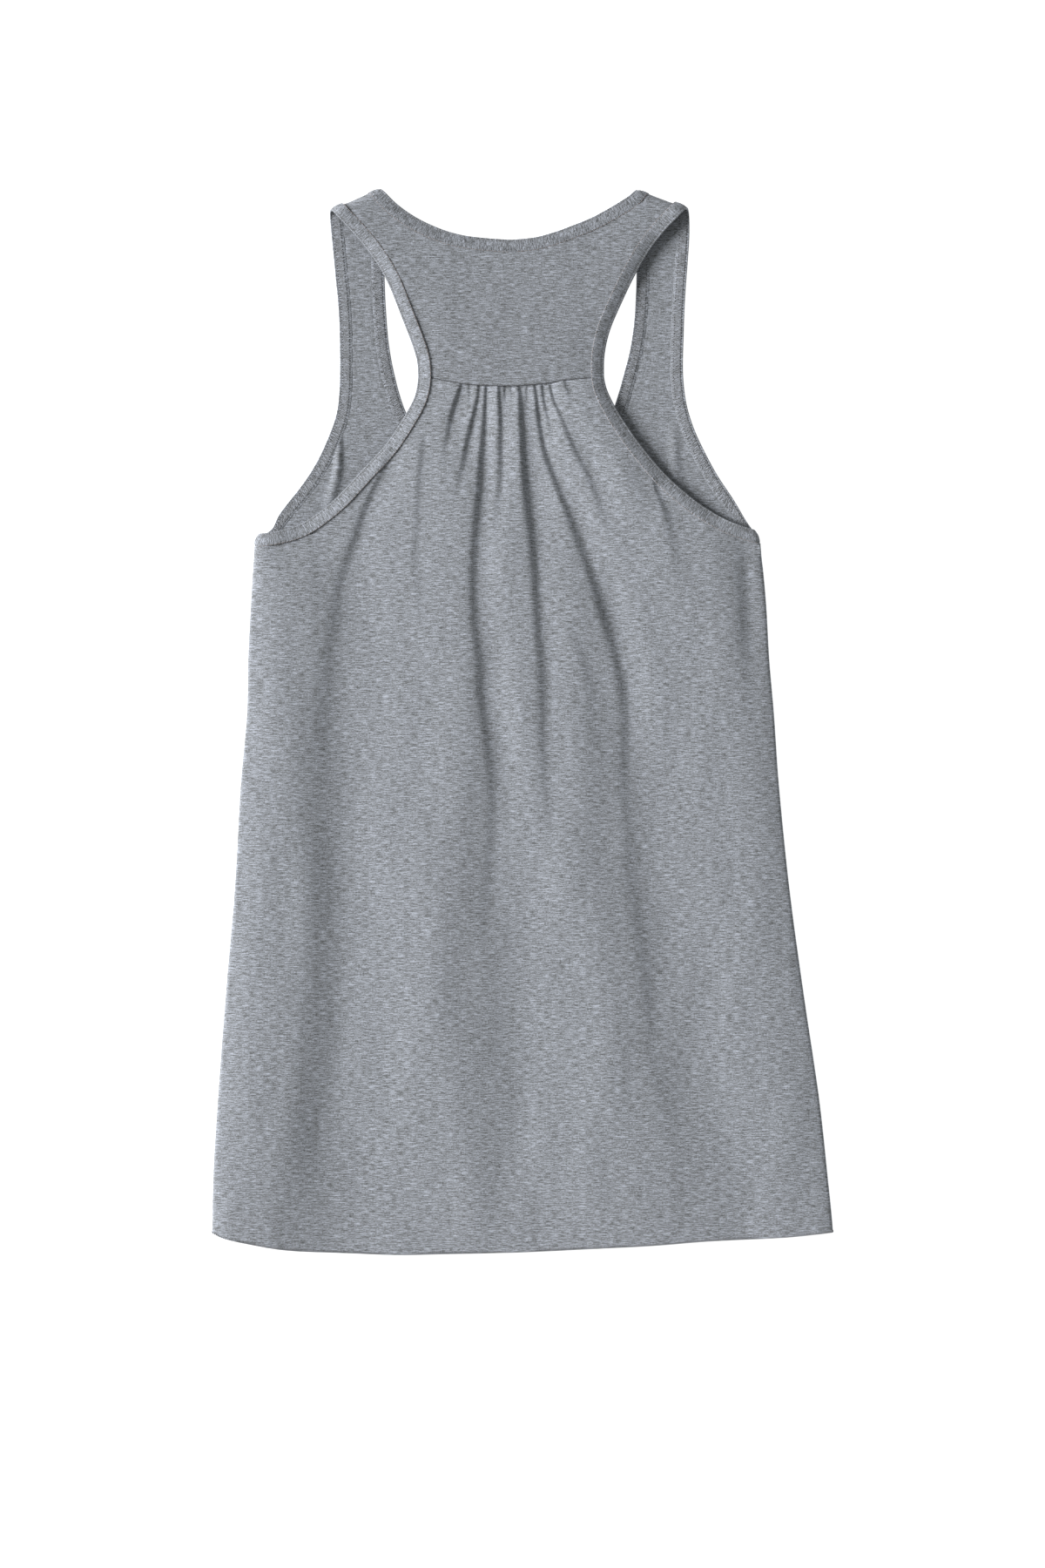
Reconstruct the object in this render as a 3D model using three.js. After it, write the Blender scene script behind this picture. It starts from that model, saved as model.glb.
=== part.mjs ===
// A gathered racerback tank top, laid flat with its back up, as separate sewn cloth pieces.
// Millimetres. +X is the wearer's right, +Y points to the neck, +Z points up from the surface it lies on.
// The front panel lies on the surface. The back yoke and the gathered back body lie over it,
// roll round both sides onto the surface and meet the front at the side seams underneath.
import * as THREE from "three";
import { mergeVertices } from "three/addons/utils/BufferGeometryUtils.js";

// Cloth and sewing
const PANEL_THICKNESS = 1.2;
const BINDING_WIDTH = 8;
const BINDING_THICKNESS = { atSeam: 1.4, middle: 2, atEdge: 1.5 };
const BINDING_LIFT = 0.4;
const SEAM_GAP = 0.35;
const HALF_GAP = SEAM_GAP / 2;
const SEAM_TUCK = 2;

// Heights of the middle of the cloth above the surface
const LOW = PANEL_THICKNESS / 2;
const LEAST_TOP = 2.4;
const SHOULDER_FOLD = 4;
const YOKE_HEIGHT = LOW + 2 * SHOULDER_FOLD;
const SIDE_LEAN = { left: 0.3, right: 0.2 };
const FOLD_FADE = 12;

// Places along the garment
const YOKE_CENTRE_X = -7.5;
const FRONT_HEM_SHORTER = 4;
const UNDERARM_Y = { left: 114.5, right: 116.5 };
const GATHERS_TOP = 221;
const GATHERS_HELD = { share: 0.3, length: 6 };
const VALLEY_RUN_ON = 6;
const SLOPE_STEP = 0.05;

function table(columns, rows) {
  const names = columns.split(" ");
  return rows.map((row) => Object.fromEntries(names.map((name, i) => [name, row[i]])));
}

// Where the laid body ends on each side, and the radius of the fold there
const SIDES = table("y left right leftRadius rightRadius", [
  [-352, -203.8, 203.4, 1.9, 1.4],
  [-335, -203.6, 203.2, 2.2, 1.5],
  [-296, -202.8, 199.4, 2.6, 1.5],
  [-247, -199.8, 194, 2.8, 1.5],
  [-178, -194.6, 183.8, 2.8, 1.5],
  [-110, -188.8, 174.6, 2.8, 1.5],
  [-41, -184.8, 167.6, 2.8, 1.5],
  [5, -180.8, 164.4, 2.8, 1.5],
  [40, -180, 161.4, 2.9, 1.5],
  [73, -178.4, 159.6, 3, 1.4],
  [96, -177, 157.6, 3.2, 1.5],
  [114.5, -175.4, 155.8, 3.3, 1.7],
  [130, -175.4, 155.8, 3.3, 1.7],
]);

// Ridges and hollows that run down the back from the armholes to the hem, from left to right
const RUNS = {
  leftRidge: table("y x height", [
    [222, -72, 8.6], [200, -84, 8.4], [178, -95, 8.2], [150, -120, 7.8], [114, -150, 7.6],
    [96, -146, 8.6], [73, -143, 9.2], [40, -146, 9], [5, -151, 8.8], [-41, -156, 8.8],
    [-110, -151, 8.8], [-178, -155, 9], [-247, -160, 8.6], [-296, -170, 7.4], [-335, -180, 5.6],
    [-352, -182, 4.6],
  ]),
  leftHollow: table("y x height", [
    [222, -58, 8.6], [200, -70, 8.4], [150, -92, 7.6], [120, -104, 6.8], [75, -109, 6.4],
    [20, -112, 4.8], [-18, -114, 4.6], [-75, -116, 4], [-127, -115, 4.6], [-190, -117, 4.4],
    [-250, -119, 3.2], [-300, -116, 2.6], [-352, -112, 2.6],
  ]),
  innerRidge: table("y x height", [
    [222, -40, 8.6], [150, -40, 9.8], [120, -41, 10], [75, -45, 10], [20, -40, 9.8], [-18, -38, 10],
    [-75, -50, 9.2], [-127, -55, 9.8], [-190, -57, 9.6], [-250, -52, 8.2], [-300, -36, 6.2],
    [-352, -32, 4.6],
  ]),
  middleHollow: table("y x height", [
    [222, -22, 8.6], [120, -22, 9.4], [75, -22, 9.2], [20, -20, 8.2], [-18, -14, 7.9],
    [-75, -15, 6.6], [-127, -9, 6.2], [-190, -1, 5.8], [-250, 0, 5.2], [-300, -8, 5.2],
    [-352, -10, 4.2],
  ]),
  middleRidge: table("y x height", [
    [222, -5, 8.6], [120, -5, 9.8], [75, -2, 9.6], [20, 0, 9.2], [-18, 1, 9], [-75, 6, 7.4],
    [-127, 14, 7.2], [-190, 24, 6.9], [-250, 28, 6.6], [-300, 26, 6.4], [-352, 26, 4.6],
  ]),
  rightRidge: table("y x height", [
    [222, 12, 8.6], [120, 26, 8.6], [75, 37, 8.4], [20, 32, 8], [-18, 33, 8], [-75, 36, 8],
    [-127, 42, 8.4], [-190, 54, 8.2], [-250, 62, 8], [-300, 76, 7.4], [-352, 80, 5.4],
  ]),
  rightHollow: table("y x height", [
    [222, 28, 8.6], [150, 50, 8.2], [120, 58, 7.4], [75, 64, 6], [20, 78, 4.2], [-18, 86, 3.8],
    [-75, 94, 3.2], [-127, 102, 3], [-190, 120, 3.2], [-250, 130, 3.2], [-300, 142, 3.6],
    [-352, 150, 3.2],
  ]),
  rightShelf: table("y x height", [
    [222, 44, 8.6], [178, 64, 8.5], [143, 84, 8.2], [120, 100, 8], [75, 120, 7.2], [20, 132, 5.4],
    [-18, 136, 4.8], [-75, 142, 4.6], [-127, 148, 4.6], [-190, 154, 4.4], [-250, 160, 4.2],
    [-300, 172, 4.2], [-352, 182, 3.4],
  ]),
};

// Lower edge of the back, also where it runs under the side rolls
const HEM = table("x y", [
  [-240, -330],
  [-214, -333],
  [-204, -335.5],
  [-197, -338.8],
  [-178, -343],
  [-155, -346.8],
  [-115, -348.8],
  [-80, -350],
  [-57, -349.4],
  [0, -348],
  [51, -345.5],
  [86, -343.6],
  [120, -341],
  [171, -338.5],
  [198, -335.8],
  [214, -333.5],
  [240, -331],
]);

// Seam that joins the yoke to the gathered back body
const YOKE_SEAM = table("x y", [
  [-62, 225.6],
  [-41, 221.6],
  [-27, 220.4],
  [-6, 220],
  [14, 221.6],
  [28, 223.8],
  [47, 225.6],
]);

// Narrow valleys between the gathers of the back body, each from its top down
const VALLEYS = {
  gather_1: table("y x half depth", [
    [221, -39.5, 2.2, 1.8], [201, -45.5, 3, 2.4], [182, -50.5, 3.6, 1.2], [160, -54, 4, 0],
  ]),
  gather_2: table("y x half depth", [
    [221, -34, 1.6, 1.4], [206, -35.5, 2, 0.8], [196, -36, 2.2, 0],
  ]),
  gather_3: table("y x half depth", [
    [220, -29, 1.8, 2.4], [201, -32, 2.4, 3], [182, -37, 3, 2.4], [154, -44, 4, 0],
  ]),
  gather_4: table("y x half depth", [
    [220, -24, 1.8, 2.4], [194, -25.5, 2.6, 3.4], [167, -28.5, 3.2, 3.6], [139, -31, 3.6, 3.6],
    [111, -33.5, 4.2, 3.4], [83, -34, 5, 3.2], [56, -32, 5.5, 2.6], [28, -30, 6.5, 2.2],
    [-18, -28, 8, 1.6], [-75, -29, 9, 0.8], [-127, -32, 10, 0],
  ]),
  gather_5: table("y x half depth", [
    [220, -15.7, 1.8, 2.2], [201, -14.6, 2.4, 2.4], [174, -15.2, 3, 1.8], [132, -17.5, 4, 0],
  ]),
  gather_6: table("y x half depth", [
    [220, -11.6, 1.4, 1.6], [209, -11.4, 1.6, 0.4], [204, -11.4, 1.6, 0],
  ]),
  gather_7: table("y x half depth", [
    [220, -7.6, 1.4, 1.4], [210, -5.6, 1.6, 0.4], [204, -4.6, 1.6, 0],
  ]),
  gather_8: table("y x half depth", [
    [220, -2.2, 1.9, 2.6], [208, -1.2, 2.4, 3.6], [188, 1.4, 2.8, 4.2], [160, 3.5, 3.2, 4.4],
    [132, 5, 3.6, 4.4], [111, 6.3, 3.8, 4.2], [90, 7.7, 4.2, 3.8], [63, 9.7, 5, 3], [39, 11.2, 6, 2.2],
    [-18, 12.5, 7, 1.2], [-87, 17, 8, 0],
  ]),
  gather_9: table("y x half depth", [
    [221, 3, 1.4, 1.4], [210, 4, 1.6, 0.4], [204, 4.4, 1.6, 0],
  ]),
  gather_10: table("y x half depth", [
    [221, 8.3, 1.8, 2.2], [204, 10.4, 2.2, 2.8], [179, 14, 2.6, 3], [154, 21.5, 3.2, 3.2],
    [128, 32.5, 3.8, 3.4], [104, 41, 4.4, 3.6], [76, 50.5, 5, 3.4], [39, 59, 6, 2.2],
    [5, 63, 8, 1.3], [-41, 65, 9, 1], [-87, 69, 10, 0.7], [-144, 74, 10, 0],
  ]),
  gather_11: table("y x half depth", [
    [222, 13.2, 1.6, 1.8], [201, 16, 2, 1.4], [186, 19, 2.4, 0],
  ]),
  gather_12: table("y x half depth", [
    [222, 18, 1.6, 1.8], [204, 23, 2.2, 2], [185, 31, 2.8, 1.8], [162, 42.5, 3.8, 1.6],
    [136, 53.5, 5, 1.2], [105, 64, 6, 0],
  ]),
  gather_13: table("y x half depth", [
    [223, 26.5, 1.8, 1.6], [212, 30, 2.2, 0.8], [202, 33, 2.4, 0],
  ]),
  left_soft: table("y x half depth", [
    [182, -67, 4, 0.8], [139, -70.5, 5, 1.6], [104, -70.5, 6, 1.4], [70, -68.5, 7, 0.6],
    [40, -67, 8, 0],
  ]),
  left_long: table("y x half depth", [
    [176, -90, 3, 0.4], [152, -98, 4.5, 1.8], [138, -103.5, 5.5, 2.4], [108, -116, 7, 2.4],
    [74, -124, 8, 2], [28, -130, 9, 1.6], [-30, -134, 10, 0.8], [-87, -138, 10, 0],
  ]),
  right_soft: table("y x half depth", [
    [60, 27, 8, 0], [5, 34, 9, 0.6], [-64, 40, 10, 0],
  ]),
  right_armhole: table("y x half depth", [
    [175, 86, 4, 0.5], [150, 91, 5, 1.5], [131, 97, 6, 1.5], [100, 110, 8, 0],
  ]),
};

// Seam lines where a panel meets a binding, each going on from its side seam or from the middle
const BACK_ARMHOLE = {
  left: [
    [-177.4, 115], [-161.5, 116.6], [-141.5, 122.8], [-119.5, 138.6], [-99.5, 159.6], [-82.5, 178.4],
    [-68.6, 200], [-62.8, 213], [-60.8, 225],
  ],
  right: [
    [157.8, 116.6], [146.5, 119.2], [131.5, 124.6], [116.5, 133], [103, 142.8], [86, 158.4],
    [69.5, 178.4], [56, 198.4], [48, 214], [45.2, 225.2],
  ],
};
const YOKE_ARMHOLE = {
  left: [
    [-60.8, 225], [-61.4, 236], [-64.2, 247], [-71.8, 267], [-82.8, 294], [-94.5, 312.6],
    [-108, 328.6],
  ],
  right: [
    [45.2, 225.2], [45.6, 241], [49.4, 258.6], [58, 279], [67.8, 299], [78, 315.8], [89.6, 330],
  ],
};
const FRONT_ARMHOLE = {
  left: [
    [-162.6, 120], [-156, 130], [-140.2, 148.8], [-128.8, 166.2], [-120.2, 184.6], [-114.6, 201.4],
    [-112.6, 220], [-112.4, 245], [-113.2, 270], [-115.6, 296], [-118, 321],
  ],
  right: [
    [143.6, 126], [134, 139], [122, 156], [111.6, 175], [104.2, 191.6], [99.4, 208.4], [97.2, 228.6],
    [97.6, 254], [98.6, 279], [100.4, 304], [101.4, 321],
  ],
};
const BACK_NECK = {
  left: [
    [YOKE_CENTRE_X, 307.8], [-23, 308.8], [-41, 311], [-57.5, 315.8], [-74.5, 323.8], [-89.5, 334.6],
  ],
  right: [
    [YOKE_CENTRE_X, 307.8], [9, 309.6], [23, 313.4], [33, 317], [48, 323], [64, 331.6], [76, 339.6],
  ],
};
const FRONT_NECK = {
  left: [
    [YOKE_CENTRE_X, 142], [-34, 148.6], [-57.5, 162], [-75, 182.6], [-85.4, 203], [-92, 225.4],
    [-96, 247], [-98, 270.4], [-98.8, 288.4], [-99.6, 318],
  ],
  right: [
    [YOKE_CENTRE_X, 142], [18, 148], [42, 162.6], [58.6, 184], [67.8, 205], [74.2, 227], [78.4, 244],
    [81, 262], [82.2, 280], [82.6, 294], [82.8, 320],
  ],
};

// Folds over the shoulders. Each fold line passes through x, y and leans by slope degrees;
// the other columns are distances from there along the line, towards the armhole.
const SHOULDERS = Object.fromEntries(
  table("name x y slope neckSeam armSeam", [
    ["left", -109.2, 342.4, 24, -9, 10.5],
    ["right", 91.4, 342.2, -20.5, -10.4, 9.5],
  ]).map((row) => [row.name, shoulder(row)]),
);

function shoulder({ name, x, y, slope, neckSeam, armSeam }) {
  const angle = THREE.MathUtils.degToRad(slope);
  const line = new THREE.Vector2(Math.cos(angle), Math.sin(angle));
  const across = new THREE.Vector2(-line.y, line.x);
  const start = new THREE.Vector2(x, y).addScaledVector(across, -SHOULDER_FOLD);
  const toArmhole = line.multiplyScalar(name === "left" ? -1 : 1);
  return { start, across, toArmhole, neckSeam, armSeam };
}

// The point of a flat pattern that ends up at the very top of a shoulder fold
function foldTop({ start, across, toArmhole }, distance) {
  return start
    .clone()
    .addScaledVector(across, (SHOULDER_FOLD * Math.PI) / 2)
    .addScaledVector(toArmhole, distance);
}

const smooth = (t) => THREE.MathUtils.smoothstep(t, 0, 1);
const SIDE_NAMES = ["left", "right"];
const sideOf = (x) => (x < YOKE_CENTRE_X ? "left" : "right");
const signOf = (side) => (side === "left" ? -1 : 1);

// A smooth step over a span, from one value and slope to another
function hermite(t, span, start, startSlope, end, endSlope) {
  const t2 = t * t;
  const t3 = t2 * t;
  return (
    (2 * t3 - 3 * t2 + 1) * start +
    (t3 - 2 * t2 + t) * span * startSlope +
    (3 * t2 - 2 * t3) * end +
    (t3 - t2) * span * endSlope
  );
}

// A smooth reading of one column of a table that is sorted by its key column
function read(rows, key, column, at) {
  const rising = rows[0][key] < rows[rows.length - 1][key];
  const list = rising ? rows : [...rows].reverse();
  const last = list.length - 1;
  if (at <= list[0][key]) return list[0][column];
  if (at >= list[last][key]) return list[last][column];
  const i = list.findIndex((row) => row[key] > at) - 1;
  const slope = (j) => {
    const a = list[Math.max(j - 1, 0)];
    const b = list[Math.min(j + 1, last)];
    return (b[column] - a[column]) / (b[key] - a[key]);
  };
  const span = list[i + 1][key] - list[i][key];
  const t = (at - list[i][key]) / span;
  return hermite(t, span, list[i][column], slope(i), list[i + 1][column], slope(i + 1));
}

// How deep the narrow valleys press the back body down at a point
function foldDepth(x, y) {
  const held = 1 - smooth((GATHERS_TOP - y) / GATHERS_HELD.length);
  let depth = 0;
  for (const valley of Object.values(VALLEYS)) {
    const top = valley[0].y;
    const bottom = valley[valley.length - 1].y;
    if (y < bottom || y > top + VALLEY_RUN_ON) continue;
    const half = read(valley, "y", "half", y);
    const away = (x - read(valley, "y", "x", y)) / half;
    depth += read(valley, "y", "depth", y) * Math.exp(-away * away);
  }
  return depth * (1 - held * (1 - GATHERS_HELD.share));
}

// Where the back starts to turn round a side: its place and height, the fold's radius, and how far
// the cloth already leans there, in radians
function sideFold(side, y) {
  const radius = read(SIDES, "y", `${side}Radius`, y);
  const lean = SIDE_LEAN[side];
  const startX = read(SIDES, "y", side, y) - signOf(side) * radius * (1 - Math.sin(lean));
  return { startX, height: LOW + radius * (1 + Math.cos(lean)), radius, lean };
}

// Height of the back between its narrow valleys: smooth across the runs from side to side
function restingHeight(x, y, folds) {
  const lines = Object.values(RUNS).map((run) => ({
    x: read(run, "y", "x", y),
    height: read(run, "y", "height", y),
  }));
  lines.unshift({ x: folds.left.startX, height: folds.left.height });
  lines.push({ x: folds.right.startX, height: folds.right.height });
  const last = lines.length - 1;
  const slope = (k) => {
    if (k === 0) return Math.tan(SIDE_LEAN.left);
    if (k === last) return -Math.tan(SIDE_LEAN.right);
    return (lines[k + 1].height - lines[k - 1].height) / (lines[k + 1].x - lines[k - 1].x);
  };
  const k = Math.max(lines.findLastIndex((line) => line.x <= x), 0);
  if (k === last) return lines[last].height;
  const span = lines[k + 1].x - lines[k].x;
  const t = Math.max((x - lines[k].x) / span, 0);
  return hermite(t, span, lines[k].height, slope(k), lines[k + 1].height, slope(k + 1));
}

// Height of the back's upper layer
function topHeight(x, y) {
  const folds = { left: sideFold("left", y), right: sideFold("right", y) };
  const inward = Math.max(Math.min(x - folds.left.startX, folds.right.startX - x), 0);
  const height = restingHeight(x, y, folds) - smooth(inward / FOLD_FADE) * foldDepth(x, y);
  return Math.max(height, LEAST_TOP);
}

// Lays a point of a flat pattern over a shoulder fold, or returns nothing where it is clear of it
function overShoulder(x, y, layer) {
  const { start, across } = SHOULDERS[sideOf(x)];
  const point = new THREE.Vector2(x, y);
  const past = point.clone().sub(start).dot(across);
  if (past <= 0) return null;
  const turn = past / SHOULDER_FOLD;
  point.addScaledVector(across, SHOULDER_FOLD * Math.sin(turn) - past);
  return new THREE.Vector3(point.x, point.y, LOW + SHOULDER_FOLD + layer * SHOULDER_FOLD * Math.cos(turn));
}

// Lays a point of the back's flat pattern: over the shoulder, round the side fold, or on top
function layBack(x, y) {
  const shouldered = overShoulder(x, y, 1);
  if (shouldered) return shouldered;
  const side = sideOf(x);
  const sign = signOf(side);
  const { startX, height, radius, lean } = sideFold(side, y);
  const past = (x - startX) * sign;
  if (past <= 0) return new THREE.Vector3(x, y, topHeight(x, y));
  const turn = Math.min(lean + past / radius, Math.PI);
  const under = Math.max(past - radius * (Math.PI - lean), 0);
  const laidX = startX + sign * (radius * (Math.sin(turn) - Math.sin(lean)) - under);
  return new THREE.Vector3(laidX, y, height + radius * (Math.cos(turn) - Math.cos(lean)));
}

const layYoke = (x, y) => overShoulder(x, y, 1) ?? new THREE.Vector3(x, y, YOKE_HEIGHT);
const layFront = (x, y) => overShoulder(x, y, -1) ?? new THREE.Vector3(x, y, LOW);

// How far the back's pattern runs on from the start of a side fold, down to the side seam
function rollLength(side, y) {
  const { radius, lean } = sideFold(side, y);
  return radius * (Math.PI - lean) + SEAM_TUCK;
}

// The side seam, on the back's flat pattern and on the front's
function backSideSeam(side, y) {
  return new THREE.Vector2(sideFold(side, y).startX + signOf(side) * rollLength(side, y), y);
}

function frontSideSeam(side, y) {
  const inward = sideFold(side, y).radius + SEAM_TUCK;
  return new THREE.Vector2(read(SIDES, "y", side, y) - signOf(side) * inward, y);
}

// Stations on a seam line, each with the direction that leads away from the panel.
// At an end that meets another seam, that direction turns towards the one given for it.
function stations(seam, points, { turnSide, firstOut, lastOut }) {
  const curve = new THREE.SplineCurve(points.map((p) => (p.isVector2 ? p : new THREE.Vector2(...p))));
  const made = FRACTIONS[seam].map((fraction) => {
    const tangent = curve.getTangentAt(fraction);
    const out = new THREE.Vector2(-tangent.y, tangent.x).multiplyScalar(turnSide);
    return { at: curve.getPointAt(fraction), out };
  });
  const last = made.length - 1;
  END_WEIGHTS.forEach((weight, i) => {
    if (firstOut) made[i].out.lerp(firstOut, weight).normalize();
    if (lastOut) made[last - i].out.lerp(lastOut, weight).normalize();
  });
  return made;
}

const moved = ({ at, out }, distance) => at.clone().addScaledVector(out, distance);
const even = (count) => Array.from({ length: count + 1 }, (_, i) => i / count);

// Stations along each seam, as shares of its length, close together round the folds
const FRACTIONS = {
  backArm: [0, 0.03, 0.062, 0.11, 0.19, 0.29, 0.4, 0.51, 0.61, 0.7, 0.79, 0.87, 0.94, 1],
  yokeArm: [0, 0.08, 0.16, 0.25, 0.34, 0.43, 0.53, 0.63, 0.73, 0.82, 0.89, 0.948, 0.966, 0.983, 1],
  frontArm: [
    0, 0.035, 0.08, 0.14, 0.21, 0.28, 0.35, 0.42, 0.5, 0.58, 0.67, 0.76, 0.85, 0.93, 0.972, 0.982, 0.991, 1,
  ],
  backNeck: [0, 0.13, 0.28, 0.44, 0.6, 0.75, 0.87, 0.935, 0.957, 0.979, 1],
  frontNeck: [0, 0.1, 0.2, 0.3, 0.4, 0.5, 0.6, 0.71, 0.83, 0.93, 0.969, 0.98, 0.99, 1],
};
const END_WEIGHTS = [1, 0.75, 0.5, 0.25];
const UP = new THREE.Vector2(0, 1);

function seamLines(side) {
  const fold = SHOULDERS[side];
  const turnSide = -signOf(side);
  const armTop = foldTop(fold, fold.armSeam);
  const neckTop = foldTop(fold, fold.neckSeam);
  const intoArm = { turnSide, lastOut: fold.toArmhole };
  const intoNeck = { turnSide: -turnSide, firstOut: UP, lastOut: fold.toArmhole.clone().negate() };
  const backUnderarm = backSideSeam(side, UNDERARM_Y[side]);
  const frontUnderarm = frontSideSeam(side, UNDERARM_Y[side]);
  return {
    backArm: stations("backArm", [backUnderarm, ...BACK_ARMHOLE[side]], { turnSide, firstOut: UP }),
    yokeArm: stations("yokeArm", [...YOKE_ARMHOLE[side], armTop], intoArm),
    frontArm: stations("frontArm", [frontUnderarm, ...FRONT_ARMHOLE[side], armTop], {
      ...intoArm,
      firstOut: UP,
    }),
    backNeck: stations("backNeck", [...BACK_NECK[side], neckTop], intoNeck),
    frontNeck: stations("frontNeck", [...FRONT_NECK[side], neckTop], intoNeck),
  };
}

const SEAMS = { left: seamLines("left"), right: seamLines("right") };

// A point of laid cloth and the direction across its wall
function clothPoint(lay, x, y) {
  const alongX = lay(x + SLOPE_STEP, y).sub(lay(x - SLOPE_STEP, y));
  const alongY = lay(x, y + SLOPE_STEP).sub(lay(x, y - SLOPE_STEP));
  return { place: lay(x, y), across: alongX.cross(alongY).normalize(), wall: PANEL_THICKNESS };
}

// Rows of cloth points, joined by square cells. A turned grid has its rows the other way round.
function grid(rows, isTurned = false) {
  const width = rows[0].length;
  const cells = [];
  for (let i = 0; i + 1 < rows.length; i++) {
    for (let j = 0; j + 1 < width; j++) {
      const a = i * width + j;
      const cell = [a, a + 1, a + 1 + width, a + width];
      cells.push(isTurned ? cell.reverse() : cell);
    }
  }
  return { points: rows.flat(), cells };
}

// One closed solid from sheets that share an edge: both faces of the wall and its open edges
function closedWall(grids) {
  const points = grids.flatMap((sheet) => sheet.points);
  const faces = [];
  let first = 0;
  for (const sheet of grids) {
    for (const cell of sheet.cells) {
      const [a, b, c, d] = cell.map((corner) => corner + first);
      faces.push(a, b, c, a, c, d);
    }
    first += sheet.points.length;
  }
  const middle = new THREE.BufferGeometry();
  const attribute = (values, size) => new THREE.Float32BufferAttribute(values, size);
  middle.setAttribute("position", attribute(points.flatMap((p) => p.place.toArray()), 3));
  middle.setAttribute("across", attribute(points.flatMap((p) => p.across.toArray()), 3));
  middle.setAttribute("wall", attribute(points.map((p) => p.wall), 1));
  middle.setIndex(faces);
  const sheet = mergeVertices(middle, 1e-4);
  const { position, across, wall } = sheet.attributes;
  const count = position.count;
  const corners = new Float32Array(count * 6);
  const place = new THREE.Vector3();
  const half = new THREE.Vector3();
  for (let i = 0; i < count; i++) {
    half.fromBufferAttribute(across, i).multiplyScalar(wall.getX(i) / 2);
    place.fromBufferAttribute(position, i).add(half).toArray(corners, i * 3);
    place.fromBufferAttribute(position, i).sub(half).toArray(corners, (count + i) * 3);
  }
  const top = Array.from(sheet.index.array);
  const all = [...top];
  const edges = new Set();
  for (let i = 0; i < top.length; i += 3) {
    const [a, b, c] = top.slice(i, i + 3);
    all.push(a + count, c + count, b + count);
    edges.add(`${a} ${b}`).add(`${b} ${c}`).add(`${c} ${a}`);
  }
  for (const edge of edges) {
    const [a, b] = edge.split(" ").map(Number);
    if (!edges.has(`${b} ${a}`)) all.push(b, a, a + count, b, a + count, b + count);
  }
  const solid = new THREE.BufferGeometry();
  solid.setAttribute("position", new THREE.BufferAttribute(corners, 3));
  solid.setIndex(all);
  solid.computeVertexNormals();
  return solid;
}

// Rows of both panels below the armholes. They are level higher up and follow the hem lower down.
const ROW_Y = [-318, -284, -248, -210, -172, -136, -102, -70, -40, -12, 14, 38, 60, 80, 98];
const HEM_FADE_Y = -230;
const HEM_CORNER_X = 200;
const hemAt = (x) => read(HEM, "x", "y", x);
const rowAt = (y, x) => y + smooth((HEM_FADE_Y - y) / (HEM_FADE_Y - hemAt(0))) * (hemAt(x) - hemAt(0));

// The gathered back body: rows from the hem up, each from side seam to side seam or armhole to armhole
const BODY_ARM_CENTRE_Y = [108, 112, 118, 126, 138, 151, 163, 174, 184, 193, 201, 208, 214.5, 219.85];
const ROLL_COLUMNS = 6;
const NARROW_ROLL = 8;
const MIDDLE_COLUMNS = 48;
const CENTRE_CROWDING = 0.35;

function bodyRow(left, right, rolls, crowding, yAt) {
  const row = [];
  const columns = 2 * ROLL_COLUMNS + MIDDLE_COLUMNS;
  const from = left.x + rolls.left;
  const to = right.x - rolls.right;
  for (let j = 0; j <= columns; j++) {
    const t = (2 * (j - ROLL_COLUMNS)) / MIDDLE_COLUMNS - 1;
    const crowded = t * (1 - crowding) + crowding * t ** 3;
    let x = THREE.MathUtils.mapLinear(crowded, -1, 1, from, to);
    if (j < ROLL_COLUMNS) x = left.x + (rolls.left * j) / ROLL_COLUMNS;
    if (j > columns - ROLL_COLUMNS) x = right.x - (rolls.right * (columns - j)) / ROLL_COLUMNS;
    row.push(clothPoint(layBack, x, yAt(x, THREE.MathUtils.mapLinear(x, left.x, right.x, -1, 1))));
  }
  return row;
}

function backBody() {
  const rows = [];
  for (const y of [hemAt(0), ...ROW_Y]) {
    const left = backSideSeam("left", rowAt(y, -HEM_CORNER_X));
    const right = backSideSeam("right", rowAt(y, HEM_CORNER_X));
    left.x += HALF_GAP;
    right.x -= HALF_GAP;
    const rolls = { left: rollLength("left", left.y), right: rollLength("right", right.y) };
    rows.push(bodyRow(left, right, rolls, CENTRE_CROWDING, (x) => rowAt(y, x)));
  }
  const lastRow = BODY_ARM_CENTRE_Y.length - 1;
  BODY_ARM_CENTRE_Y.forEach((centreY, k) => {
    const up = k / lastRow;
    const left = moved(SEAMS.left.backArm[k], -HALF_GAP);
    const right = moved(SEAMS.right.backArm[k], -HALF_GAP);
    if (k === 0) {
      left.x += HALF_GAP;
      right.x -= HALF_GAP;
    }
    const rollAt = (side) => THREE.MathUtils.lerp(rollLength(side, UNDERARM_Y[side]), NARROW_ROLL, up);
    const rolls = { left: rollAt("left"), right: rollAt("right") };
    const yAt = (x, t) => {
      if (k === lastRow) return read(YOKE_SEAM, "x", "y", x) - HALF_GAP;
      const end = t < 0 ? left.y : right.y;
      return centreY + (end - centreY) * t * t;
    };
    rows.push(bodyRow(left, right, rolls, CENTRE_CROWDING * (1 - up), yAt));
  });
  return closedWall([grid(rows)]);
}

// Half of a panel that splits at a neckline: its rows run from the middle line or the neck seam
// out to the side seam or the armhole, and its first row follows the panel's lower edge
function halfPanel({ inner, outer, columns, lowerEdge, lay, isTurned }) {
  const rows = inner.map((from, k) =>
    even(columns).map((t) => {
      const { x, y } = from.clone().lerp(outer[k], t);
      return clothPoint(lay, x, k === 0 ? lowerEdge(x) : y);
    }),
  );
  return grid(rows, isTurned);
}

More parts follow.
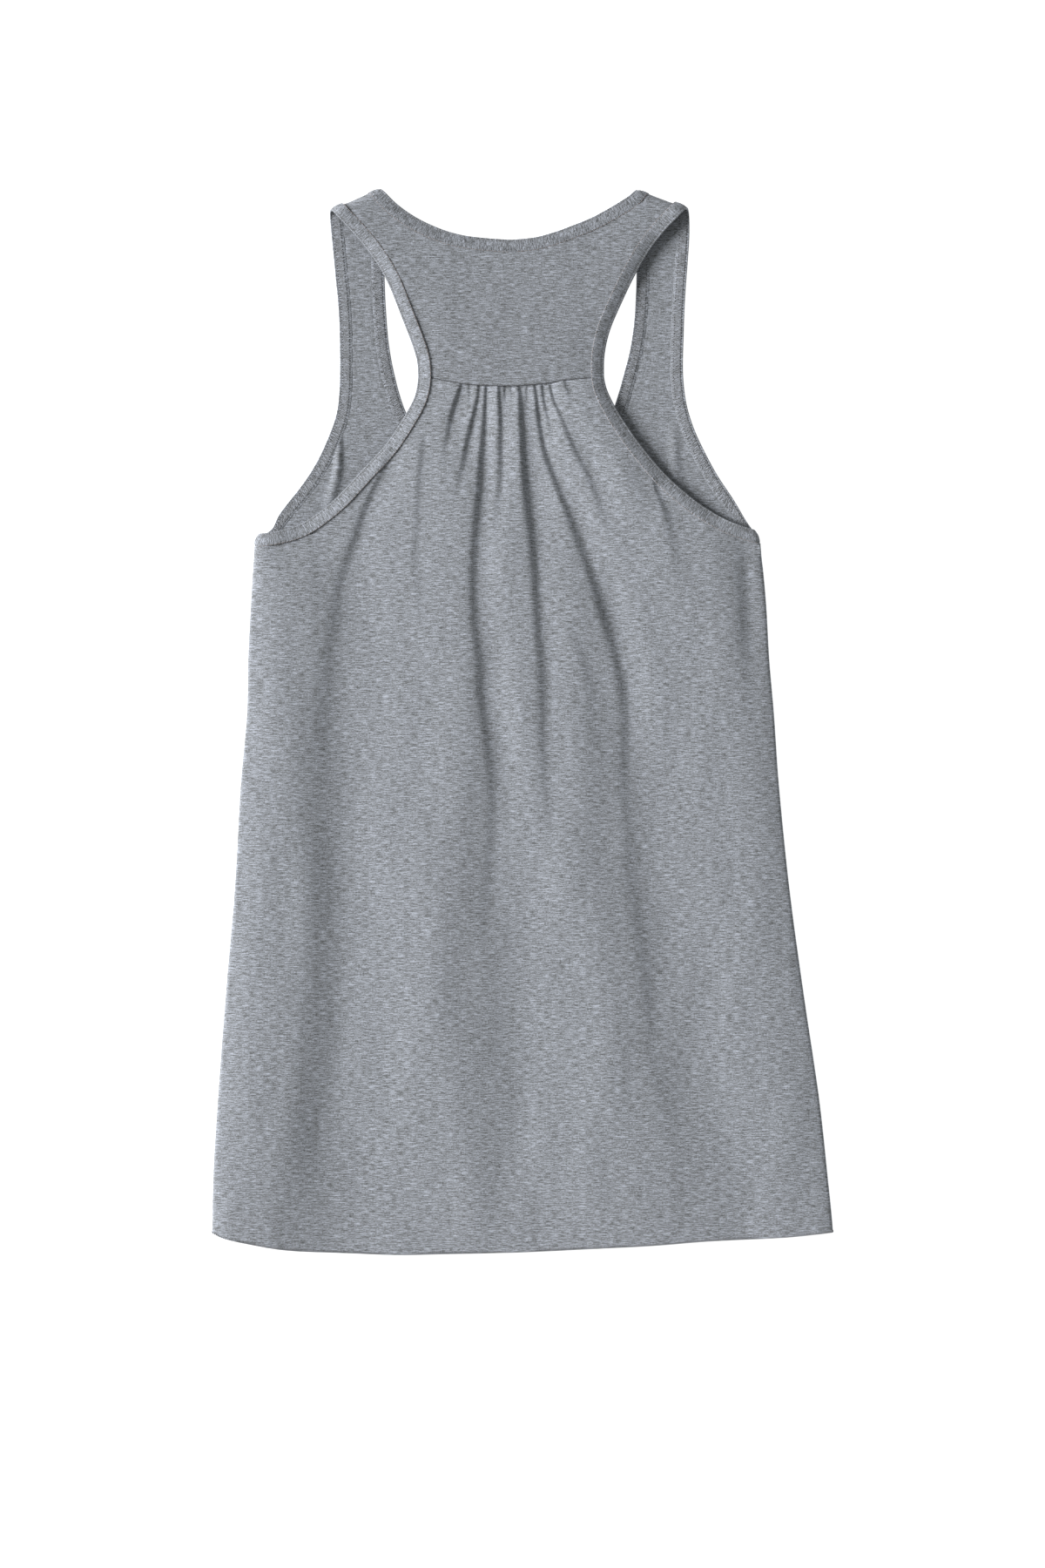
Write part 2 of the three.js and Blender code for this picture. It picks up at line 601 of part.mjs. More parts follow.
// Ends both edges half a seam gap before the top of the shoulder fold
function stopShortOfFold(side, inner, outer) {
  const { across } = SHOULDERS[side];
  inner[inner.length - 1].addScaledVector(across, -HALF_GAP);
  outer[outer.length - 1].addScaledVector(across, -HALF_GAP);
}

const YOKE_COLUMNS = 8;
const YOKE_CENTRE_Y = [220, 240, 262, 285];

function backYoke() {
  const lowerEdge = (x) => read(YOKE_SEAM, "x", "y", x) + HALF_GAP;
  const halves = SIDE_NAMES.map((side) => {
    const middle = YOKE_CENTRE_Y.map((y) => new THREE.Vector2(YOKE_CENTRE_X, y));
    const inner = [...middle, ...SEAMS[side].backNeck.map((s) => moved(s, -HALF_GAP))];
    const outer = SEAMS[side].yokeArm.map((s) => moved(s, -HALF_GAP));
    stopShortOfFold(side, inner, outer);
    const isTurned = side === "left";
    return halfPanel({ inner, outer, columns: YOKE_COLUMNS, lowerEdge, lay: layYoke, isTurned });
  });
  return closedWall(halves);
}

const FRONT_COLUMNS = 7;
const FRONT_CENTRE_Y = [...ROW_Y, 108, 118, 127, 135];

function frontPanel() {
  const lowerEdge = (x) => hemAt(x) + FRONT_HEM_SHORTER;
  const halves = SIDE_NAMES.map((side) => {
    const cornerX = signOf(side) * HEM_CORNER_X;
    const { frontArm, frontNeck } = SEAMS[side];
    const neckY = FRONT_NECK[side][0][1];
    const middleX = (y) => THREE.MathUtils.mapLinear(y, lowerEdge(0), neckY, 0, YOKE_CENTRE_X);
    const middle = [lowerEdge(0), ...FRONT_CENTRE_Y].map((y) => new THREE.Vector2(middleX(y), y));
    const seamY = [lowerEdge(cornerX), ...ROW_Y.map((y) => rowAt(y, cornerX))];
    const seam = seamY.map((y) => frontSideSeam(side, y));
    const inner = [...middle, ...frontNeck.map((s) => moved(s, -HALF_GAP))];
    const outer = [...seam, ...frontArm.map((s) => moved(s, -HALF_GAP))];
    for (const point of outer.slice(0, seam.length + 1)) point.x -= signOf(side) * HALF_GAP;
    stopShortOfFold(side, inner, outer);
    const isTurned = side === "left";
    return halfPanel({ inner, outer, columns: FRONT_COLUMNS, lowerEdge, lay: layFront, isTurned });
  });
  return closedWall(halves);
}

// A binding that runs round a closed loop of stations. On the front its outside faces down.
function binding(parts, isTurned) {
  const across = [HALF_GAP, BINDING_WIDTH / 2, BINDING_WIDTH];
  const walls = [BINDING_THICKNESS.atSeam, BINDING_THICKNESS.middle, BINDING_THICKNESS.atEdge];
  const rows = parts.flatMap(({ lay, list }) =>
    list.map((station) =>
      across.map((distance, i) => {
        const { x, y } = moved(station, distance);
        const point = clothPoint(lay, x, y);
        point.place.addScaledVector(point.across, BINDING_LIFT * point.across.z);
        if (lay === layFront) point.across.negate();
        point.wall = walls[i];
        return point;
      }),
    ),
  );
  return closedWall([grid([...rows, rows[0]], isTurned)]);
}

const reversed = (list) => [...list].reverse();

function armholeBinding(side) {
  const { backArm, yokeArm, frontArm } = SEAMS[side];
  return binding([
    { lay: layBack, list: backArm },
    { lay: layYoke, list: yokeArm.slice(1) },
    { lay: layFront, list: reversed(frontArm).slice(1, -1) },
  ], side === "left");
}

function neckBinding() {
  const { left, right } = SEAMS;
  return binding([
    { lay: layYoke, list: left.backNeck },
    { lay: layFront, list: reversed(left.frontNeck).slice(1) },
    { lay: layFront, list: right.frontNeck.slice(1) },
    { lay: layYoke, list: reversed(right.backNeck).slice(1, -1) },
  ], false);
}

const HEATHER_GREY = { color: 0x8f9399, roughness: 0.95, metalness: 0 };
const garment = new THREE.Group();

function addPiece(name, geometry) {
  const piece = new THREE.Mesh(geometry, new THREE.MeshStandardMaterial(HEATHER_GREY));
  piece.name = name;
  garment.add(piece);
}

addPiece("front_panel", frontPanel());
addPiece("back_body_gathered", backBody());
addPiece("back_yoke", backYoke());
addPiece("neck_binding", neckBinding());
addPiece("armhole_binding_left", armholeBinding("left"));
addPiece("armhole_binding_right", armholeBinding("right"));

export default garment;
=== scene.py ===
"""A gathered racerback tank top that lies flat with its back up, in heather grey jersey.

Lengths are millimetres, as in the part's own frame, until a mesh is made from them in metres.
+X is the wearer's right, +Y points to the neck and +Z points up from the surface it lies on.
Each cloth piece is a flat pattern, given by its seam lines, that a lay function puts in place.
"""
import math

import bmesh
import bpy
import numpy as np
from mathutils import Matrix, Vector


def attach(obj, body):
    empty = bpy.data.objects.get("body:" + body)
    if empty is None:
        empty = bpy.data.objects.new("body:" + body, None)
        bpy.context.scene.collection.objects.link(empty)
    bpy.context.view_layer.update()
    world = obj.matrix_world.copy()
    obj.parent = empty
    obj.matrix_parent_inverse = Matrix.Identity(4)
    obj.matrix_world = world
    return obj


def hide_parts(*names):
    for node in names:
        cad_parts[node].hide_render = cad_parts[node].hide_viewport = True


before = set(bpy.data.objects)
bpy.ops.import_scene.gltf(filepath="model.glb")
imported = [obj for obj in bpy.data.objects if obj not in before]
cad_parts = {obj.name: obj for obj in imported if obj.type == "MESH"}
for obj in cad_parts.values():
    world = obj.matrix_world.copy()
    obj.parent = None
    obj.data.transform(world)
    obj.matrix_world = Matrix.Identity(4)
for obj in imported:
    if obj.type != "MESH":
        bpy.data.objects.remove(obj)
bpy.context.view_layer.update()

MM = 0.001
RANDOM = np.random.default_rng(11)

# Cloth and sewing
WALL = 1.0
BINDING_WIDTH = 8
BINDING_HALF_THICKNESS = 0.75
BINDING_LIFT = 0.2
SEAM_TUCK = 2
# How far each panel runs on past its seam lines, so that nothing shows through them
SEAM_OVERLAP = 0.05

# Heights of the middle of the cloth above the surface, and how the cloth folds over at its edges
LOW = 0.6
LEAST_HEIGHT = 0.02
LEAST_TOP = 2.4
SHOULDER_FOLD = 4
YOKE_HEIGHT = LOW + 2 * SHOULDER_FOLD
SIDE_LEAN = {"left": 0.3, "right": 0.2}
FOLD_FADE = 12

# Places along the garment
YOKE_CENTRE_X = -7.5
FRONT_HEM_SHORTER = 4
UNDERARM_Y = {"left": 114.5, "right": 116.5}
GATHERS_TOP = 221
GATHERS_HELD = {"share": 0.7, "length": 1.5}
CREASE_RUN_ON = 4


def table(columns, rows):
    """Named columns, sorted by the first one, which is the key that the others are read at."""
    values = np.array(rows, float)
    values = values[np.argsort(values[:, 0])]
    return dict(zip(columns.split(), values.T))


# Where the laid body ends on each side, and the radius of the fold there
SIDES = table("y left right left_radius right_radius", [
    (-352, -203.8, 203.4, 1.8, 1.1), (-335, -203.6, 203.2, 2, 1.1), (-296, -202.8, 199.4, 2.2, 1.1),
    (-247, -199.8, 194, 2.3, 1.1), (-178, -194.6, 183.8, 2.2, 1.1), (-110, -188.8, 174.6, 2.2, 1.1),
    (-41, -184.8, 167.6, 2.2, 1.1), (5, -180.8, 164.4, 2.3, 1.1), (40, -180, 161.4, 2.5, 1.2),
    (73, -178.4, 159.6, 2.8, 1.3), (96, -177, 157.6, 3.1, 1.4), (114.5, -175.8, 155.5, 3.3, 1.7),
    (118.5, -175.8, 155.6, 3.3, 1.7), (123, -173.2, 154, 3.3, 1.7), (128, -169.6, 149.8, 3.3, 1.7),
    (134, -165, 145.4, 3.3, 1.7),
])

# Ridges and hollows that run down the back from the armholes to the hem, from left to right
RUNS = {name: table("y x height", rows) for name, rows in {
    "left_ridge": [
        (222, -72, 8.6), (200, -84, 8.4), (178, -95, 8.2), (150, -120, 7.8), (114, -150, 7.6),
        (96, -146, 8.6), (73, -143, 9.2), (40, -146, 9), (5, -150, 9), (-41, -153, 9),
        (-110, -148, 9), (-178, -150, 9.2), (-247, -156, 8.9), (-296, -166, 8.2), (-335, -170, 7),
        (-352, -171, 6),
    ],
    "left_hollow": [
        (222, -58, 8.6), (200, -70, 8.4), (150, -92, 7.6), (120, -104, 6.8), (75, -109, 6.4),
        (20, -112, 5.5), (-18, -114, 5.2), (-75, -116, 4.6), (-127, -115, 4.8), (-190, -117, 4.6),
        (-250, -119, 3.7), (-300, -119, 2.9), (-352, -120, 2.6),
    ],
    "inner_ridge": [
        (222, -40, 8.6), (150, -40, 9.8), (120, -41, 10), (75, -45, 10), (20, -40, 9.8), (-18, -38, 10),
        (-75, -50, 9.2), (-127, -55, 9.8), (-190, -57, 9.6), (-250, -52, 8.2), (-300, -36, 6.2),
        (-352, -32, 4.6),
    ],
    "middle_hollow": [
        (222, -22, 8.6), (120, -22, 9.4), (75, -22, 9.2), (20, -20, 8.2), (-18, -14, 7.9), (-75, -15, 6.6),
        (-127, -9, 6.2), (-190, -1, 5.8), (-250, 0, 5.2), (-300, -8, 5.2), (-352, -10, 4.2),
    ],
    "middle_ridge": [
        (222, -5, 8.6), (120, -5, 9.8), (75, -2, 9.6), (20, 0, 9.2), (-18, 1, 9), (-75, 6, 7.4),
        (-127, 14, 7.2), (-190, 24, 6.9), (-250, 28, 6.6), (-300, 26, 6.4), (-352, 26, 4.6),
    ],
    "right_ridge": [
        (222, 12, 8.6), (180, 20, 8.2), (120, 26, 8.4), (75, 36, 8.6), (20, 31, 8.4), (-18, 31, 8.6),
        (-75, 31, 8.9), (-127, 41, 8.9), (-190, 56, 8.8), (-250, 60, 8.4), (-300, 76, 7.8), (-352, 80, 5.6),
    ],
    "right_hollow": [
        (222, 28, 8.6), (180, 40, 7.9), (150, 50, 8), (120, 58, 7.4), (75, 64, 6.2), (20, 78, 4.8),
        (-18, 86, 4.5), (-75, 94, 4.1), (-127, 102, 4), (-190, 114, 4), (-250, 122, 4), (-300, 136, 4.1),
        (-352, 150, 3.4),
    ],
    "right_shelf": [
        (222, 44, 8.4), (178, 64, 8.8), (143, 84, 9.5), (120, 100, 9.2), (75, 120, 7.2), (20, 134, 5.8),
        (-18, 140, 5.2), (-75, 146, 5), (-127, 154, 5), (-190, 160, 4.9), (-250, 168, 4.8),
        (-300, 174, 4.6), (-352, 184, 3.5),
    ],
}.items()}

# Lower edge of the back, also where it runs under the side folds
HEM = table("x y", [
    (-240, -330), (-214, -333), (-204, -335.5), (-197, -338.8), (-178, -343), (-155, -346.8),
    (-115, -348.8), (-80, -350), (-57, -349.4), (0, -348), (51, -345.5), (86, -343.6),
    (120, -341), (171, -338.5), (198, -335.8), (214, -333.5), (240, -331),
])

# Seam that joins the yoke to the gathered back body
YOKE_SEAM = table("x y", [
    (-62, 225.6), (-41, 221.6), (-27, 220.4), (-6, 220), (14, 221.6), (28, 223.8), (47, 225.6),
])

# Creases that run down from the gathers, each from its top down: where the steep wall stands, half
# the width that its shade has and how far it drops
CREASES = {name: table("y x half drop", rows) for name, rows in {
    "gather_1": [
        (222, -40.5, 1.2, 1.2), (212, -44, 2.2, 2), (200, -47.5, 2.6, 1.9), (190, -49.2, 2.6, 1.4),
        (180, -51.5, 2.9, 0.8), (165, -52.5, 3.4, 0),
    ],
    "gather_2": [(222, -36, 1, 0.8), (212, -35.5, 1.3, 0.5), (204, -35.5, 1.7, 0)],
    "gather_3": [
        (222, -29.3, 1.1, 1.2), (212, -30.3, 1.7, 1.7), (200, -33.1, 1.9, 2), (190, -35.4, 2.6, 2.2),
        (180, -37.7, 2.2, 1.9), (170, -39.4, 2.6, 1.5), (160, -41.6, 2.5, 0.8), (140, -47.1, 3.1, 0),
    ],
    "gather_4": [
        (222, -24.5, 1, 1.2), (212, -25.1, 1.3, 1.5), (200, -25.7, 1.9, 2), (190, -26.3, 2.6, 2.5),
        (170, -28, 2.9, 2.9), (150, -29.4, 3, 2.6), (120, -32.1, 3.1, 2), (90, -33.2, 3, 2),
        (60, -32.1, 3, 1.7), (40, -29.2, 3.5, 1.6), (20, -28.6, 3.4, 1.6), (-20, -23, 4, 1.3),
        (-60, -21, 4.5, 1), (-127, -26, 6, 0.5), (-165, -30, 7, 0),
    ],
    "gather_5": [
        (222, -16.2, 1.1, 1.2), (212, -16, 1.8, 1.9), (200, -15.4, 2.2, 2.3), (180, -15.4, 2.6, 2.3),
        (160, -15.4, 3.1, 2), (135, -17.7, 4, 1), (105, -20, 5, 0),
    ],
    "gather_6": [(222, -12.5, 1, 1.1), (214, -12.5, 1.2, 0.8), (206, -12.5, 1.5, 0)],
    "gather_7": [(222, -8.7, 1, 1.1), (214, -8, 1.5, 0.6), (207, -7.5, 1.7, 0)],
    "gather_8": [
        (222, -3.5, 1.5, 1.4), (212, -2.2, 2.2, 2.2), (200, -1.6, 2.9, 3.1), (180, -0.5, 3.5, 3.7),
        (160, 0.7, 3.9, 3.9), (135, 3.4, 3.9, 3.2), (120, 5.2, 3.8, 2.9), (90, 7.4, 3.6, 2.5),
        (60, 9.2, 3.8, 2.3), (40, 11.4, 3.8, 1.9), (20, 12, 4.2, 1.8), (-20, 12.6, 4, 1.3),
        (-87, 17, 6, 0),
    ],
    "gather_9": [(222, 2.3, 0.9, 0.8), (212, 1.8, 1.3, 0.5), (205, 1.5, 1.6, 0)],
    "gather_10": [
        (222, 6.8, 1.2, 1.4), (212, 8.4, 1.6, 1.7), (200, 9.5, 2.2, 2.2), (180, 12.9, 2.6, 2.2),
        (170, 15.8, 3.4, 2.8), (150, 23.6, 3.2, 2.6), (120, 35.5, 3.7, 2.3), (90, 45.8, 3.7, 2.4),
        (75, 50.4, 3.7, 2.4), (60, 54.9, 4, 2.2), (40, 60.7, 3.5, 1.9), (20, 64.7, 3.7, 1.8),
        (0, 66.4, 4, 1.4), (-41, 66, 6, 1.2), (-87, 69, 7, 0.9), (-144, 76, 7, 0.9),
        (-180, 81, 6, 1), (-230, 86, 7, 0.6), (-280, 92, 9, 0),
    ],
    "gather_11": [(222, 12, 1.1, 1.4), (212, 12.9, 1.6, 1.5), (200, 15.8, 1.6, 1.1), (178, 20.2, 1.8, 0)],
    "gather_12": [
        (222, 17, 1.1, 1.2), (212, 19.2, 1.9, 1.5), (200, 24.4, 2.2, 1.4), (180, 32.4, 3.1, 1.5),
        (160, 42.8, 3.4, 1.3), (135, 52, 3.7, 0.8), (115, 57, 4, 0),
    ],
    "gather_13": [(222, 27, 1.1, 1.1), (212, 30.4, 2.5, 0.6), (202, 32.5, 2.9, 0)],
    "left_soft": [
        (192, -65.5, 3, 0), (180, -66.4, 2.8, 0.8), (150, -69.3, 2.4, 0.9), (135, -69.8, 2.5, 0.9),
        (105, -71.5, 3.2, 0.7), (75, -68.1, 4.5, 0.6), (55, -69, 4.5, 0),
    ],
    "left_long": [
        (178, -88, 2.6, 0.5), (160, -94.4, 3, 1.2), (150, -99.6, 2.8, 1.5), (135, -105.9, 2.9, 1.7),
        (120, -111, 3.2, 1.7), (90, -121.3, 4.4, 1.5), (75, -123.1, 5.5, 1.3), (28, -130, 8, 1),
        (-30, -133, 9, 0.7), (-87, -135, 9, 0.3), (-140, -133, 9, 0),
    ],
    "right_soft": [(70, 29, 4, 0), (60, 31.5, 4.3, 0.7), (20, 44.6, 4.6, 0.6), (-30, 48, 8, 0)],
    "right_armhole": [
        (156, 86, 1.8, 0.9), (150, 88.1, 2, 1.2), (135, 93.9, 3.7, 1.3), (120, 96.7, 4, 0.8),
        (90, 103.6, 4, 0.2), (80, 105, 4, 0),
    ],
    "right_side": [
        (120, 141, 4, 0.2), (105, 142, 4.2, 1.1), (90, 143, 4.2, 1.3), (60, 144, 4.4, 1.2), (30, 147, 5, 0.6),
        (0, 150, 6, 0.3), (-30, 153, 7, 0),
    ],
}.items()}
CREASE_WALL = {"before": 0.75, "past": 0.85}
CREASE_RISE = {"least": 5, "per_half": 5}

# Seam lines where a panel meets a binding, each going on from its side seam or from the middle
BACK_ARMHOLE = {
    "left": [
        (-177.4, 115), (-161.5, 116.6), (-141.5, 122.8), (-119.5, 138.6), (-99.5, 159.6),
        (-82.5, 178.4), (-68.6, 200), (-62.8, 213), (-60.8, 225),
    ],
    "right": [
        (157.8, 116.6), (146.5, 119.2), (131.5, 124.6), (116.5, 133), (103, 142.8), (86, 158.4),
        (69.5, 178.4), (56, 198.4), (48, 214), (45.2, 225.2),
    ],
}
YOKE_ARMHOLE = {
    "left": [
        (-60.8, 225), (-61.4, 236), (-64.2, 247), (-71.8, 267), (-82.8, 294), (-94.5, 312.6),
        (-108, 328.6),
    ],
    "right": [(45.2, 225.2), (45.6, 241), (49.4, 258.6), (58, 279), (67.8, 299), (78, 315.8), (89.6, 330)],
}
FRONT_ARMHOLE = {
    "left": [
        (-162.6, 120), (-156, 130), (-140.2, 148.8), (-128.8, 166.2), (-120.2, 184.6),
        (-114.6, 201.4), (-112.6, 220), (-112.4, 245), (-113.2, 270), (-115.6, 296), (-118, 321),
    ],
    "right": [
        (143.6, 126), (134, 139), (122, 156), (111.6, 175), (104.2, 191.6), (99.4, 208.4),
        (97.2, 228.6), (97.6, 254), (98.6, 279), (100.4, 304), (101.4, 321),
    ],
}
BACK_NECK = {
    "left": [
        (YOKE_CENTRE_X, 307.8), (-23, 308.8), (-41, 311), (-57.5, 315.8), (-74.5, 323.8),
        (-89.5, 334.6),
    ],
    "right": [
        (YOKE_CENTRE_X, 307.8), (9, 309.6), (23, 313.4), (33, 317), (48, 323), (64, 331.6),
        (76, 339.6),
    ],
}
FRONT_NECK = {
    "left": [
        (YOKE_CENTRE_X, 142), (-34, 148.6), (-57.5, 162), (-75, 182.6), (-85.4, 203), (-92, 225.4),
        (-96, 247), (-98, 270.4), (-98.8, 288.4), (-99.6, 318),
    ],
    "right": [
        (YOKE_CENTRE_X, 142), (18, 148), (42, 162.6), (58.6, 184), (67.8, 205), (74.2, 227),
        (78.4, 244), (81, 262), (82.2, 280), (82.6, 294), (82.8, 320),
    ],
}

# Folds over the shoulders: each fold line passes through x, y and leans by slope degrees, and the
# seams meet it at these distances from there along the line, towards the armhole
SHOULDERS = {
    "left": {"x": -109.2, "y": 342.4, "slope": 24, "neck": -9, "arm": 10.5},
    "right": {"x": 91.4, "y": 342.2, "slope": -20.5, "neck": -10.4, "arm": 9.5},
}
SIGN = {"left": -1, "right": 1}

# How far from its ends a seam's outward direction turns towards its neighbour's
TURNS = {"back_arm": 30, "front_arm": 45, "neck": 80, "top": 12}
UP = np.array((0.0, 1.0))


def run_along(points):
    """Length along a line of points, at each of them."""
    return np.concatenate([[0], np.cumsum(np.linalg.norm(np.diff(points, axis=0), axis=1))])


def sample(values, run, at):
    """Reads a line's points, or its directions, at some runs along it."""
    return np.stack([np.interp(at, run, column) for column in values.T], -1)


def unit(vectors):
    return vectors / np.linalg.norm(vectors, axis=-1, keepdims=True)


def closed(points):
    return np.vstack([points, points[:1]])


def bell(away, half):
    """1 at no distance, falling off softly over about twice the half width."""
    return np.exp(-((away / half) ** 2))


def smooth(t):
    t = np.clip(t, 0, 1)
    return t * t * (3 - 2 * t)


def hermite(t, span, start, start_slope, end, end_slope):
    return (
        (2 * t**3 - 3 * t**2 + 1) * start
        + (t**3 - 2 * t**2 + t) * span * start_slope
        + (3 * t**2 - 2 * t**3) * end
        + (t**3 - t**2) * span * end_slope
    )


def read(rows, column, at):
    """A smooth reading of one column of a table."""
    keys, values = next(iter(rows.values())), rows[column]
    steps = np.diff(values) / np.diff(keys)
    slopes = np.concatenate([steps[:1], (values[2:] - values[:-2]) / (keys[2:] - keys[:-2]), steps[-1:]])
    i = np.clip(np.searchsorted(keys, at, side="right") - 1, 0, len(keys) - 2)
    span = keys[i + 1] - keys[i]
    t = np.clip((at - keys[i]) / span, 0, 1)
    return hermite(t, span, values[i], slopes[i], values[i + 1], slopes[i + 1])


# Laying the flat patterns

def crease_shape(x, y, crease):
    """How deep a crease is: a steep wall on its left, and a long gentle rise to its right."""
    half = read(crease, "half", y)
    past = x - read(crease, "x", y)
    before, beyond = CREASE_WALL["before"], CREASE_WALL["past"]
    wall = smooth((past / half + before) / (before + beyond))
    rise = smooth((past - beyond * half) / (CREASE_RISE["least"] + CREASE_RISE["per_half"] * half))
    inside = (y >= crease["y"][0]) & (y <= crease["y"][-1] + CREASE_RUN_ON)
    return inside * read(crease, "drop", y) * wall * (1 - rise)


def fold_depth(x, y):
    held = 1 - smooth((GATHERS_TOP - y) / GATHERS_HELD["length"])
    depth = sum(crease_shape(x, y, crease) for crease in CREASES.values())
    return depth * (1 - held * (1 - GATHERS_HELD["share"]))


def side_fold(side, y):
    """Where the back starts to turn round a side: its place, its height, the radius and the angle."""
    radius, lean = read(SIDES, side + "_radius", y), SIDE_LEAN[side]
    start_x = read(SIDES, side, y) - SIGN[side] * radius * (1 - math.sin(lean))
    return start_x, LOW + radius * (1 + math.cos(lean)), radius, lean


def resting_height(x, y):
    """Height of the back between its creases: smooth across the runs from side to side."""
    ends = {side: side_fold(side, y) for side in SIGN}
    lines = [ends["left"][:2], *[(read(run, "x", y), read(run, "height", y)) for run in RUNS.values()]]
    lines.append(ends["right"][:2])
    xs, heights = (np.array(np.broadcast_arrays(*values)) for values in zip(*lines))
    slopes = np.empty_like(heights)
    slopes[1:-1] = (heights[2:] - heights[:-2]) / (xs[2:] - xs[:-2])
    slopes[0], slopes[-1] = math.tan(SIDE_LEAN["left"]), -math.tan(SIDE_LEAN["right"])
    height = heights[0]
    for k in range(len(xs) - 1):
        span = xs[k + 1] - xs[k]
        t = np.clip((x - xs[k]) / span, 0, 1)
        here = hermite(t, span, heights[k], slopes[k], heights[k + 1], slopes[k + 1])
        height = np.where(x >= xs[k], here, height)
    return height


def clear_of_sides(x, y):
    """0 on the side folds and past them, and 1 well inside of them."""
    left, right = (side_fold(side, y)[0] for side in SIGN)
    return smooth(np.minimum(x - left, right - x) / FOLD_FADE)


def top_height(x, y):
    return np.maximum(resting_height(x, y) - clear_of_sides(x, y) * fold_depth(x, y), LEAST_TOP)


def shoulder(side):
    """The line where a shoulder's fold starts, the way across it and the way to the armhole."""
    fold = SHOULDERS[side]
    angle = math.radians(fold["slope"])
    line = np.array((math.cos(angle), math.sin(angle)))
    across = np.array((-line[1], line[0]))
    start = np.array((fold["x"], fold["y"])) - across * SHOULDER_FOLD
    return start, across, line * SIGN[side]


def fold_top(side, seam):
    """The point of a flat pattern that ends up at the very top of a shoulder fold."""
    start, across, to_armhole = shoulder(side)
    return start + across * SHOULDER_FOLD * math.pi / 2 + to_armhole * SHOULDERS[side][seam]


def over_shoulder(laid, x, y, layer):
    """Takes what lies past a shoulder's fold line round the fold, on its upper or lower layer."""
    for side in SHOULDERS:
        start, across, _ = shoulder(side)
        past = (x - start[0]) * across[0] + (y - start[1]) * across[1]
        is_past = (past > 0) & ((x < YOKE_CENTRE_X) == (side == "left"))
        turn = past / SHOULDER_FOLD
        back = SHOULDER_FOLD * np.sin(turn) - past
        folded = np.stack([
            x + across[0] * back,
            y + across[1] * back,
            LOW + SHOULDER_FOLD * (1 + layer * np.cos(turn)),
        ], -1)
        laid = np.where(is_past[..., None], folded, laid)
    return laid


def lay_back(x, y):
    """Lays the back's pattern: over the shoulder, round the side fold, or on top."""
    laid = np.stack([x, y, top_height(x, y)], -1)
    for side, sign in SIGN.items():
        start_x, start_z, radius, lean = side_fold(side, y)
        past = (x - start_x) * sign
        turn = lean + np.clip(past / radius, 0, math.pi - lean)
        under = np.maximum(past - radius * (math.pi - lean), 0)
        turned = np.stack([
            start_x + sign * (radius * (np.sin(turn) - math.sin(lean)) - under),
            y,
            start_z + radius * (np.cos(turn) - math.cos(lean)),
        ], -1)
        laid = np.where((past > 0)[..., None], turned, laid)
    return over_shoulder(laid, x, y, 1)


def lay_yoke(x, y):
    return over_shoulder(np.stack([x, y, np.full_like(x, YOKE_HEIGHT)], -1), x, y, 1)


def lay_front(x, y):
    return over_shoulder(np.stack([x, y, np.full_like(x, LOW)], -1), x, y, -1)


def laid_with_normals(lay, x, y, step=0.05):
    """Pattern points in their place, and the way that their cloth faces."""
    along_x = lay(x + step, y) - lay(x - step, y)
    along_y = lay(x, y + step) - lay(x, y - step)
    return lay(x, y), unit(np.cross(along_x, along_y))


def roll_length(side, y):
    """How far the back's pattern runs on from the start of a side fold, down to the side seam."""
    _, _, radius, lean = side_fold(side, y)
    return radius * (math.pi - lean) + SEAM_TUCK


def back_side_seam(side, y):
    return side_fold(side, y)[0] + SIGN[side] * roll_length(side, y)


def front_side_seam(side, y):
    return read(SIDES, side, y) - SIGN[side] * (read(SIDES, side + "_radius", y) + SEAM_TUCK)


# Seam lines

# The back's bands droop at their outer edge: from which distance along the seam after its start, or
# before its end, and over what length that sets in
DROOP_STARTS = {"back_arm": (20, None), "yoke_arm": (None, 10), "back_neck": (None, 10)}
DROOP_FADE = 28


class Seam:
    """A seam line on a flat pattern, with the direction that leads away from its panel."""

    SAMPLES = 60
    TANGENT_STEP = 0.3

    def __init__(self, points, turn_side, first=None, last=None):
        points = np.array(points, float)
        around = np.vstack([points[:1], points, points[-1:]])
        t = np.linspace(0, 1, self.SAMPLES, endpoint=False)[:, None]
        spans = []
        for before, a, b, after in zip(around[:-3], around[1:-2], around[2:-1], around[3:]):
            leave, arrive = (b - before) / 2, (after - a) / 2
            spans.append(
                (2 * a - 2 * b + leave + arrive) * t**3
                + (3 * b - 3 * a - 2 * leave - arrive) * t**2
                + leave * t
                + a
            )
        self.line = np.vstack([*spans, points[-1:]])
        self.run = run_along(self.line)
        self.length = self.run[-1]
        self.turn_side = turn_side
        self.ends = (first, last)
        self.droop_starts = (None, None)

    def point(self, run):
        return sample(self.line, self.run, run)

    def at(self, share):
        """Points at shares of the length, and the outward direction at each."""
        run = np.asarray(share, float) * self.length
        ahead = self.point(run + self.TANGENT_STEP) - self.point(run - self.TANGENT_STEP)
        out = unit(np.stack([-ahead[:, 1], ahead[:, 0]], -1) * self.turn_side)
        for end, distance in zip(self.ends, (run, self.length - run)):
            if end is not None:
                direction, reach = end
                weight = np.clip(1 - distance / reach, 0, 1)[:, None]
                out = unit(out * (1 - weight) + direction * weight)
        return self.point(run), out

    def droop(self, run):
        """How much of its full slant a band has at a run: none near a fold."""
        from_start, from_end = self.droop_starts
        if from_start is None and from_end is None:
            return np.zeros_like(run)
        clear = self.length - run - from_end if from_start is None else run - from_start
        return smooth(clear / DROOP_FADE)

    def moved(self, share, distance):
        point, out = self.at(share)
        return point + out * distance


